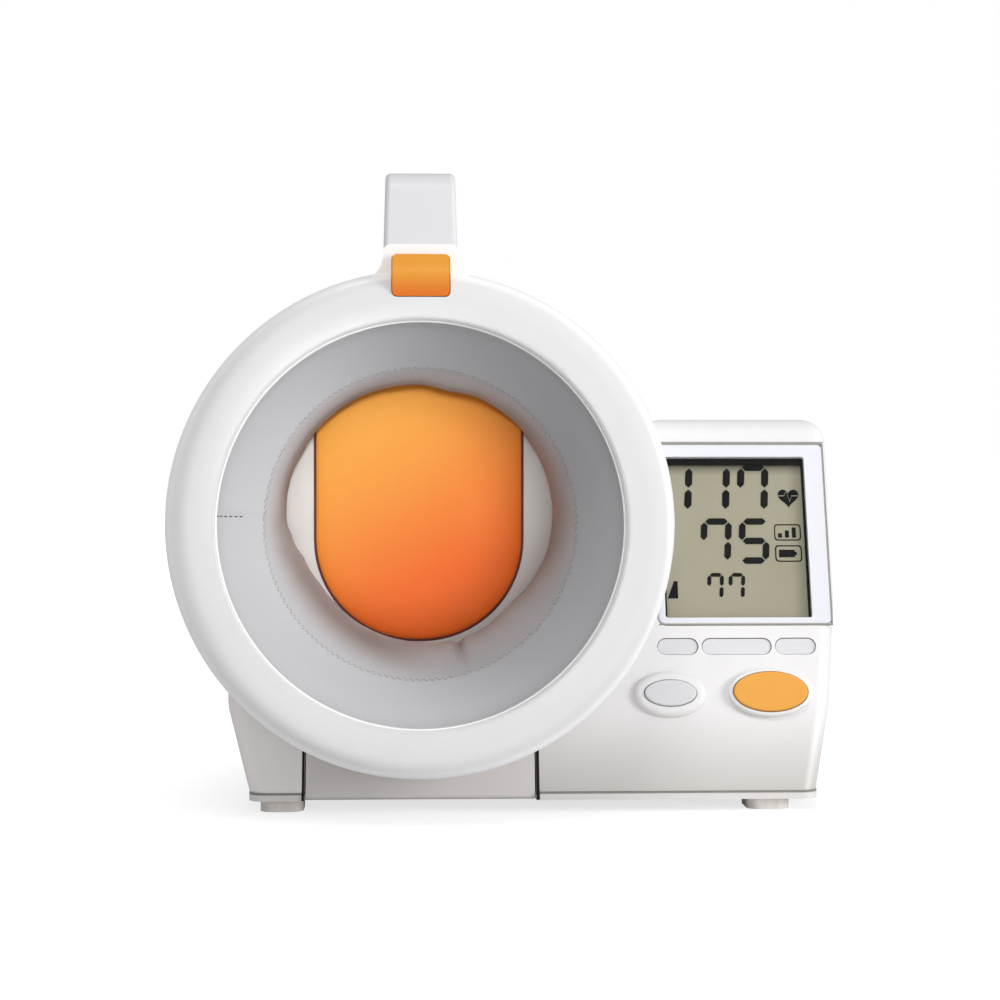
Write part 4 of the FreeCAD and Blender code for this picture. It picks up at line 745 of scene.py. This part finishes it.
def settled(mesh, pins):
    """Lets Blender's cloth puff and wrinkle a mesh between its pinned points, and applies the result."""
    start = [v.co.copy() for v in mesh.vertices]
    obj = bpy.data.objects.new("settling", mesh)
    scene = bpy.context.scene
    scene.collection.objects.link(obj)
    group = obj.vertex_groups.new(name="pinned")
    for index, weight in pins.items():
        group.add([index], weight, "REPLACE")
    cloth = obj.modifiers.new("cloth", "CLOTH")
    for name, value in CLOTH.items():
        setattr(cloth.settings, name, value)
    cloth.settings.vertex_group_mass = "pinned"
    cloth.settings.effector_weights.gravity = 0
    cloth.point_cache.frame_start = 1
    cloth.point_cache.frame_end = CLOTH_FRAMES
    for frame_number in range(1, CLOTH_FRAMES + 1):
        scene.frame_set(frame_number)
    shape = obj.evaluated_get(bpy.context.evaluated_depsgraph_get()).data
    moves = [v.co - a for a, v in zip(start, shape.vertices)]
    scene.frame_set(1)
    bpy.data.objects.remove(obj)
    return [a + move.normalized() * min(move.length, CLOTH_REACH) for a, move in zip(start, moves)]


def cuff_sheet():
    """The cloth's shown side as one open sheet, in rows from the mouth to the rear, facing the axis."""
    mesh = bpy.data.meshes.new("cuff_sheet")
    bm = bmesh.new()
    bridge(bm, [[bm.verts.new(cuff_point(i / AROUND, j / ALONG)) for i in range(AROUND)]
                for j in range(ALONG + 1)])
    bm.normal_update()
    first = bm.faces[:][0]
    inward = Vector((AXIS_X, 0, AXIS_Z)) - first.calc_center_median() * Vector((1, 0, 1))
    if first.normal.dot(inward) < 0:
        bmesh.ops.reverse_faces(bm, faces=bm.faces)
    bm.to_mesh(mesh)
    bm.free()
    return mesh


def cuff_rows():
    """The cloth's settled points, by row and place round the cuff."""
    pins = {}
    for j in range(ALONG + 1):
        if j <= 1 or j >= ALONG - 1 or j == SEAM_ROW:
            pins.update((j * AROUND + i, 1.0) for i in range(AROUND))
        elif j < SEAM_ROW:
            pins[j * AROUND + SEAM_PLACE] = JOINT_HOLD
    points = settled(cuff_sheet(), pins)
    return [points[j * AROUND:(j + 1) * AROUND] for j in range(ALONG + 1)]


def cuff_cloth(rows):
    """The padded fabric: funnel, stitched line and sleeve, as one double-walled skin."""
    def skin(bm):
        knit = bm.verts.layers.float_vector.new("knit")
        walls = []
        for thick in (0.0, SKIN):
            for j, row in enumerate(rows):
                line = []
                for i, point in enumerate(row):
                    out = Vector((point.x - AXIS_X, 0, point.z - AXIS_Z)).normalized()
                    vert = bm.verts.new(point + out * thick)
                    fold = abs(2 * i / AROUND - 1) * math.pi * STITCH_RADIUS
                    vert[knit] = (fold, j / ALONG * CLOTH_LENGTH, 0)
                    line.append(vert)
                walls.append(line)
        bridge(bm, walls[:len(rows)] + walls[len(rows):][::-1], looped=True)

    obj = piece("cuff_cloth", mesh_from("cuff_cloth", skin), fabric, "cuff_unit")
    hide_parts("cuff_liner")


def stitch(bm, middle, along, out, length, radius):
    """One thread of a seam: a short bead that dips into the cloth at both ends."""
    side = along.cross(out).normalized()
    rings = []
    for reach, swell in ((-0.5, 0.25), (-0.3, 0.85), (0.0, 1.0), (0.3, 0.85), (0.5, 0.25)):
        at = middle + along * length * reach + out * radius * (swell - 0.6)
        rings.append([bm.verts.new(at + (side * math.cos(a) + out * math.sin(a)) * radius * swell)
                      for a in (math.pi / 3 * n for n in range(6))])
    bridge(bm, rings)
    bm.faces.new(rings[0])
    bm.faces.new(rings[-1][::-1])


def on_row(row, turn):
    """A point on a settled row at a turn, and the direction of the row there."""
    place = turn * AROUND
    i = int(place) % AROUND
    here, ahead = row[i], row[(i + 1) % AROUND]
    return here.lerp(ahead, place - int(place)), (ahead - here).normalized()


def stitches(rows):
    """The two rings of stitches where funnel and sleeve meet, and the dark joining seam at the left."""
    def ring(bm):
        for row, shift, lean in ((rows[SEAM_ROW], 0.0, STITCH_LEAN),
                                 (rows[SEAM_ROW - 1], STITCH_SHIFT, -STITCH_LEAN)):
            for n in range(STITCHES):
                here, along = on_row(row, (n + shift) / STITCHES)
                inward = (Vector((AXIS_X, here.y, AXIS_Z)) - here).normalized()
                out = (inward + STITCH_LIFT).normalized()
                slope = (along + along.cross(out) * lean).normalized()
                stitch(bm, here, slope, out, *STITCH_SIZE)

    def joint(bm):
        out = (Vector((1, 0, 0)) + STITCH_LIFT).normalized()
        for j in range(2, 2 * SEAM_ROW // 3, 2):
            here, ahead = rows[j][SEAM_PLACE], rows[j + 1][SEAM_PLACE]
            stitch(bm, here, (ahead - here).normalized(), out, *JOINT_STITCH_SIZE)

    piece("cuff_stitches", mesh_from("cuff_stitches", ring), thread, "cuff_unit")
    piece("cuff_seam_stitches", mesh_from("cuff_seam_stitches", joint), dark_thread, "cuff_unit")


def mouth_bead():
    """The ring mouth's glossy edge: a thin bead round the cloth, paler than the ring, a painted highlight
    along the lip.
    """
    def bead(bm):
        rings = []
        for n in range(BEAD_STEPS):
            turn = 2 * math.pi * n / BEAD_STEPS
            out, back = Vector((math.cos(turn), 0, math.sin(turn))), Vector((0, 1, 0))
            middle = Vector((AXIS_X, RING_Y + BEAD_DEPTH, AXIS_Z)) + out * (MOUTH_RADIUS + 0.1 * MM)
            rings.append([bm.verts.new(middle + (out * math.cos(a) + back * math.sin(a)) * BEAD_RADIUS)
                          for a in (math.pi / 4 * k for k in range(8))])
        bridge(bm, rings, looped=True)

    piece("mouth_bead", mesh_from("mouth_bead", bead), highlight_white, "cuff_unit")


# ---------------------------------------------------------------- elbow pad

PAD_LOWER_CORNER = 42.5 * MM
PAD_UPPER_CORNER = 12 * MM
CORNER_STEPS = 16

# The skin's levels, and those of the dark strip of painted shadow under its edge: how far in from the pad's
# outline (mm), and how far up its thickness.
SKIN_LEVELS = [
    (1.5, 0.0), (1.5, 0.35), (1.2, 0.5), (1.15, 0.66), (1.5, 0.84), (2.6, 1.0), (6.0, 1.14), (11.0, 1.24),
]
GAP_SHADOW_LEVELS = [(0.3, 0.0), (0.0, 0.1), (0.0, 0.22), (0.35, 0.34), (1.7, 0.34)]


def pad_outline(inset):
    """The pad's outline, from the right top corner round by the left: points across and up."""
    low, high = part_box("elbow_pad")
    half, middle = (high.x - low.x) / 2, (high.x + low.x) / 2
    corners = ((half - PAD_UPPER_CORNER, high.z - PAD_UPPER_CORNER, PAD_UPPER_CORNER, 0),
               (PAD_UPPER_CORNER - half, high.z - PAD_UPPER_CORNER, PAD_UPPER_CORNER, 90),
               (PAD_LOWER_CORNER - half, low.z + PAD_LOWER_CORNER, PAD_LOWER_CORNER, 180),
               (half - PAD_LOWER_CORNER, low.z + PAD_LOWER_CORNER, PAD_LOWER_CORNER, 270))
    points = []
    for across, up, radius, start in corners:
        for k in range(CORNER_STEPS + 1):
            turn = math.radians(start + 90 / CORNER_STEPS * k)
            reach = radius - inset
            points.append((middle + across + reach * math.cos(turn), up + reach * math.sin(turn)))
    return points


def elbow_pad():
    """The pad's skin, crowned and with a rolled edge, over a dark strip of painted shadow where it meets its
    plate.
    """
    low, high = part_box("elbow_pad")

    def built(levels):
        outlines = [[(x, high.y - (high.y - low.y) * up, z) for x, z in pad_outline(inset * MM)]
                    for inset, up in levels]
        return lambda bm: capped(bm, outlines)

    obj = piece("elbow_pad_skin", mesh_from("elbow_pad_skin", built(SKIN_LEVELS)), pad_skin, "elbow_rest")
    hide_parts("elbow_pad")
    piece("elbow_pad_gap_shadow", mesh_from("elbow_pad_gap_shadow", built(GAP_SHADOW_LEVELS)), pad_gap_shadow, "elbow_rest")


# ---------------------------------------------------------------- display

SEGMENTS = {"1": "bc", "5": "afgcd", "7": "fabc"}
LCD_LIFT = 0.12 * MM

# Digits: (figure, left edge, foot, width, height, bar), in millimetres on the panel.
DIGITS = [
    ("1", 94.6, 113.3, 9.0, 17.2, 2.8), ("1", 109.3, 113.3, 9.0, 17.2, 2.8),
    ("7", 123.9, 113.3, 9.4, 17.2, 2.8), ("7", 108.8, 92.8, 9.4, 15.7, 2.6),
    ("5", 123.6, 92.8, 9.4, 15.7, 2.6), ("7", 110.4, 78.0, 4.8, 9.1, 1.5), ("7", 118.6, 78.0, 4.8, 9.1, 1.5),
]
DIGIT_SLANT = 0.07

# The signs, in millimetres on the panel: middles of the heart and of the two boxes, the boxes' size and line,
# and outlines from a box's middle (bars, cell), from the heart's middle (beat), or on the panel (wedge).
HEART, HEART_SIZE, HEART_STEPS = (143.0, 118.4), 8.2, 28
BAR_BOX, CELL_BOX = (142.0, 104.1), (142.0, 95.6)
BOX_SIZE, BOX_CORNER, BOX_LINE = (10.4, 6.6), 1.3, 0.45
BAR_FOOT, BAR_WIDTH = -2.1, 1.5
BARS = ((-3.7, -0.4), (-1.0, 0.8), (1.7, 2.0))
CELL = [(-3.7, -1.5), (2.4, -1.5), (2.4, -0.7), (3.2, -0.7), (3.2, 0.7), (2.4, 0.7), (2.4, 1.5), (-3.7, 1.5)]
BEAT = [(-3.9, 0.5), (-1.7, 0.5), (-0.7, 2.3), (0.5, -1.9), (1.3, 0.5), (3.9, 0.5)]
BEAT_HALF = 0.16
WEDGE = [(94.6, 77.8), (98.6, 77.8), (98.6, 84.6), (97.2, 84.6)]

# The dark strips of painted shadow in the gaps beside the neck: (name, inner and outer reach from the axis in
# mm, the housing they lie on).
GAP_SHADOWS = [("left_gap_shadow", -42.85, -43.75, "left_housing"), ("right_gap_shadow", 42.85, 44.0, "right_housing")]
SEAM_REACH = 42.8 * MM
SEAM_TOP = 30 * MM


def on_panel(across, up, out):
    return PANEL @ Vector((across, up, out))


def panel_places(name):
    """A part's points in the panel's frame."""
    inverse = PANEL.inverted()
    return [inverse @ v.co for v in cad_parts[name].data.vertices]


def panel_box(name):
    """A part's lowest and highest places in the panel's frame."""
    places = panel_places(name)
    return [Vector(pick(c[axis] for c in places) for axis in range(3)) for pick in (min, max)]


def flat_shape(bm, points, out, thick):
    """A thin plate with the given outline on the panel, out above its face."""
    lows = [bm.verts.new(on_panel(x, y, out)) for x, y in points]
    tops = [bm.verts.new(on_panel(x, y, out + thick)) for x, y in points]
    bm.faces.new(tops)
    bm.faces.new(lows[::-1])
    bridge(bm, [lows, tops])


def flat_box(bm, x0, y0, x1, y1, out, thick):
    flat_shape(bm, [(x0, y0), (x1, y0), (x1, y1), (x0, y1)], out, thick)


def flat_sign(bm, outline, top):
    """A sign on the cell's face, its outline in millimetres on the panel."""
    flat_shape(bm, [(x * MM, y * MM) for x, y in outline], top, LCD_LIFT)


def moved(outline, middle):
    return [(x + middle[0], y + middle[1]) for x, y in outline]


def segment_outline(name, wide, tall, bar):
    """A segment's outline in the digit's own box, before it is slanted."""
    half = tall / 2
    gap = bar * 0.12
    upright = [(0, gap), (bar / 2, gap + bar / 2), (bar / 2, half - gap - bar / 2), (0, half - gap),
               (-bar / 2, half - gap - bar / 2), (-bar / 2, gap + bar / 2)]
    level = [(gap, 0), (gap + bar / 2, bar / 2), (wide - gap - bar / 2, bar / 2), (wide - gap, 0),
             (wide - gap - bar / 2, -bar / 2), (gap + bar / 2, -bar / 2)]
    moves = {"f": (upright, 0, half), "b": (upright, wide, half), "c": (upright, wide, 0),
             "a": (level, 0, tall), "g": (level, 0, half), "d": (level, 0, 0)}
    shape, across, up = moves[name]
    return moved(shape, (across, up))


def trim(name, build, material):
    """A thin flat piece on the base, built on the panel."""
    return piece(name, mesh_from(name, build, smooth=False), material, "base")


def lcd_digits(top):
    """The figures: upper and lower pressure, and pulse."""
    def figures(bm):
        for figure, left, foot, wide, tall, bar in DIGITS:
            for name in SEGMENTS[figure]:
                flat_sign(bm, [(left + x + y * DIGIT_SLANT, foot + y)
                               for x, y in segment_outline(name, wide, tall, bar)], top)

    trim("lcd_figures", figures, ink)


def heart_outline():
    """The well-known heart curve, 32 units wide, about its middle."""
    points = []
    for n in range(HEART_STEPS):
        t = 2 * math.pi * n / HEART_STEPS
        x = 16 * math.sin(t) ** 3
        y = 13 * math.cos(t) - 5 * math.cos(2 * t) - 2 * math.cos(3 * t) - math.cos(4 * t)
        points.append((x * HEART_SIZE / 32, y * HEART_SIZE / 32))
    return points


def sign_box(bm, middle, top):
    """A thin rounded frame, as the small signs have."""
    wide, tall = BOX_SIZE

    def loop(inset):
        half_w, half_t, radius = wide / 2 - inset, tall / 2 - inset, BOX_CORNER - inset * 0.6
        corners = ((half_w - radius, half_t - radius, 0), (radius - half_w, half_t - radius, 90),
                   (radius - half_w, radius - half_t, 180), (half_w - radius, radius - half_t, 270))
        return moved([(x + radius * math.cos(math.radians(start + 30 * k)),
                       y + radius * math.sin(math.radians(start + 30 * k)))
                      for x, y, start in corners for k in range(4)], middle)

    outer, inner = loop(0), loop(BOX_LINE)
    loops = [[bm.verts.new(on_panel(x * MM, y * MM, top + lift)) for x, y in points]
             for points, lift in ((outer, 0), (outer, LCD_LIFT), (inner, LCD_LIFT), (inner, 0))]
    bridge(bm, loops, looped=True)


def lcd_signs(top):
    """A heart, a small wedge, and two boxed signs: three rising bars and a full cell."""
    def signs(bm):
        flat_sign(bm, moved(heart_outline(), HEART), top)
        for middle in (BAR_BOX, CELL_BOX):
            sign_box(bm, middle, top)
        for left, rise in BARS:
            bar = [(left, BAR_FOOT), (left + BAR_WIDTH, BAR_FOOT), (left + BAR_WIDTH, rise), (left, rise)]
            flat_sign(bm, moved(bar, BAR_BOX), top)
        flat_sign(bm, moved(CELL, CELL_BOX), top)
        flat_sign(bm, WEDGE, top)

    def beat(bm):
        """The pulse mark across the heart, in the colour of the ground."""
        upper = moved(BEAT, (HEART[0], HEART[1] + BEAT_HALF))
        lower = moved(BEAT[::-1], (HEART[0], HEART[1] - BEAT_HALF))
        flat_shape(bm, [(x * MM, y * MM) for x, y in upper + lower], top + LCD_LIFT, LCD_LIFT / 3)

    trim("lcd_signs", signs, ink)
    trim("lcd_beat", beat, lcd_ground)


def lcd_gasket_and_shadow(top):
    """The black light gasket round the cell, partly painted shadow: it is deepest along the top, where the
    frame stands over it.
    """
    low, high = panel_box("display_window")
    back = low.z - 0.05 * MM
    shadow_edge, side, sill = high.y - 2.4 * MM, 0.8 * MM, 0.4 * MM

    def gasket(bm):
        for edges in ((low.x, shadow_edge, high.x, high.y), (high.x - side, low.y, high.x, shadow_edge),
                      (low.x, low.y, low.x + side, shadow_edge), (low.x + side, low.y, high.x - side, low.y + sill)):
            flat_box(bm, *edges, top, back - top)

    trim("lcd_gasket_and_shadow", gasket, ink)


def bezel_groove_shade():
    """Grey strips of painted shade in the recess where the frame sits: wide above, narrow at the right and
    below.
    """
    low, high = panel_box("display_bezel")
    upper, side, lower = high.y - 0.5 * MM, high.x - 0.8 * MM, low.y + 0.35 * MM
    above, below = high.y + 0.7 * MM, low.y - 0.3 * MM
    depth, thick = 0.6 * MM, 0.62 * MM

    def lines(bm):
        for edges in ((low.x, upper, high.x, above), (side, lower, high.x, upper),
                      (low.x, below, high.x, lower)):
            flat_box(bm, *edges, high.z - depth, thick)

    trim("bezel_groove_shade", lines, groove_shade_grey)


def gap_shadows():
    """Dark strips of painted shadow in the gaps of the housings and the bottom cover beside the neck."""
    near, level, foot = 0.6 * MM, 0.3 * MM, 0.1 * MM
    sink, thick, cover_thick = 0.4 * MM, 0.45 * MM, 1.0 * MM

    def strip(inner, outer, housing):
        """From the inner to the outer reach from the axis, along the housing's front edge."""
        edge = [c for c in panel_places(housing) if abs(abs(c.x) - SEAM_REACH) < near and c.y < SEAM_TOP]
        face = max(c.z for c in edge)
        low = min(c.y for c in edge if c.z > face - level)

        def shape(bm):
            flat_box(bm, inner, low, outer, SEAM_TOP, face - sink, thick)
            flat_box(bm, inner, foot, outer, low, face, cover_thick)

        return shape

    for name, inner, outer, housing in GAP_SHADOWS:
        trim(name, strip(inner * MM, outer * MM, housing), ink)


def display():
    """Figures, signs, gasket and painted shadow on the cell's front face, and the painted shade line round
    the frame.
    """
    top = panel_box("lcd_panel")[1].z
    lcd_digits(top)
    lcd_signs(top)
    lcd_gasket_and_shadow(top)
    bezel_groove_shade()


# ---------------------------------------------------------------- the scene

camera()
studio()
floor()
dress_nodes()
cloth_rows = cuff_rows()
cuff_cloth(cloth_rows)
stitches(cloth_rows)
mouth_bead()
elbow_pad()
display()
gap_shadows()

bpy.context.scene.view_settings.view_transform = "Standard"
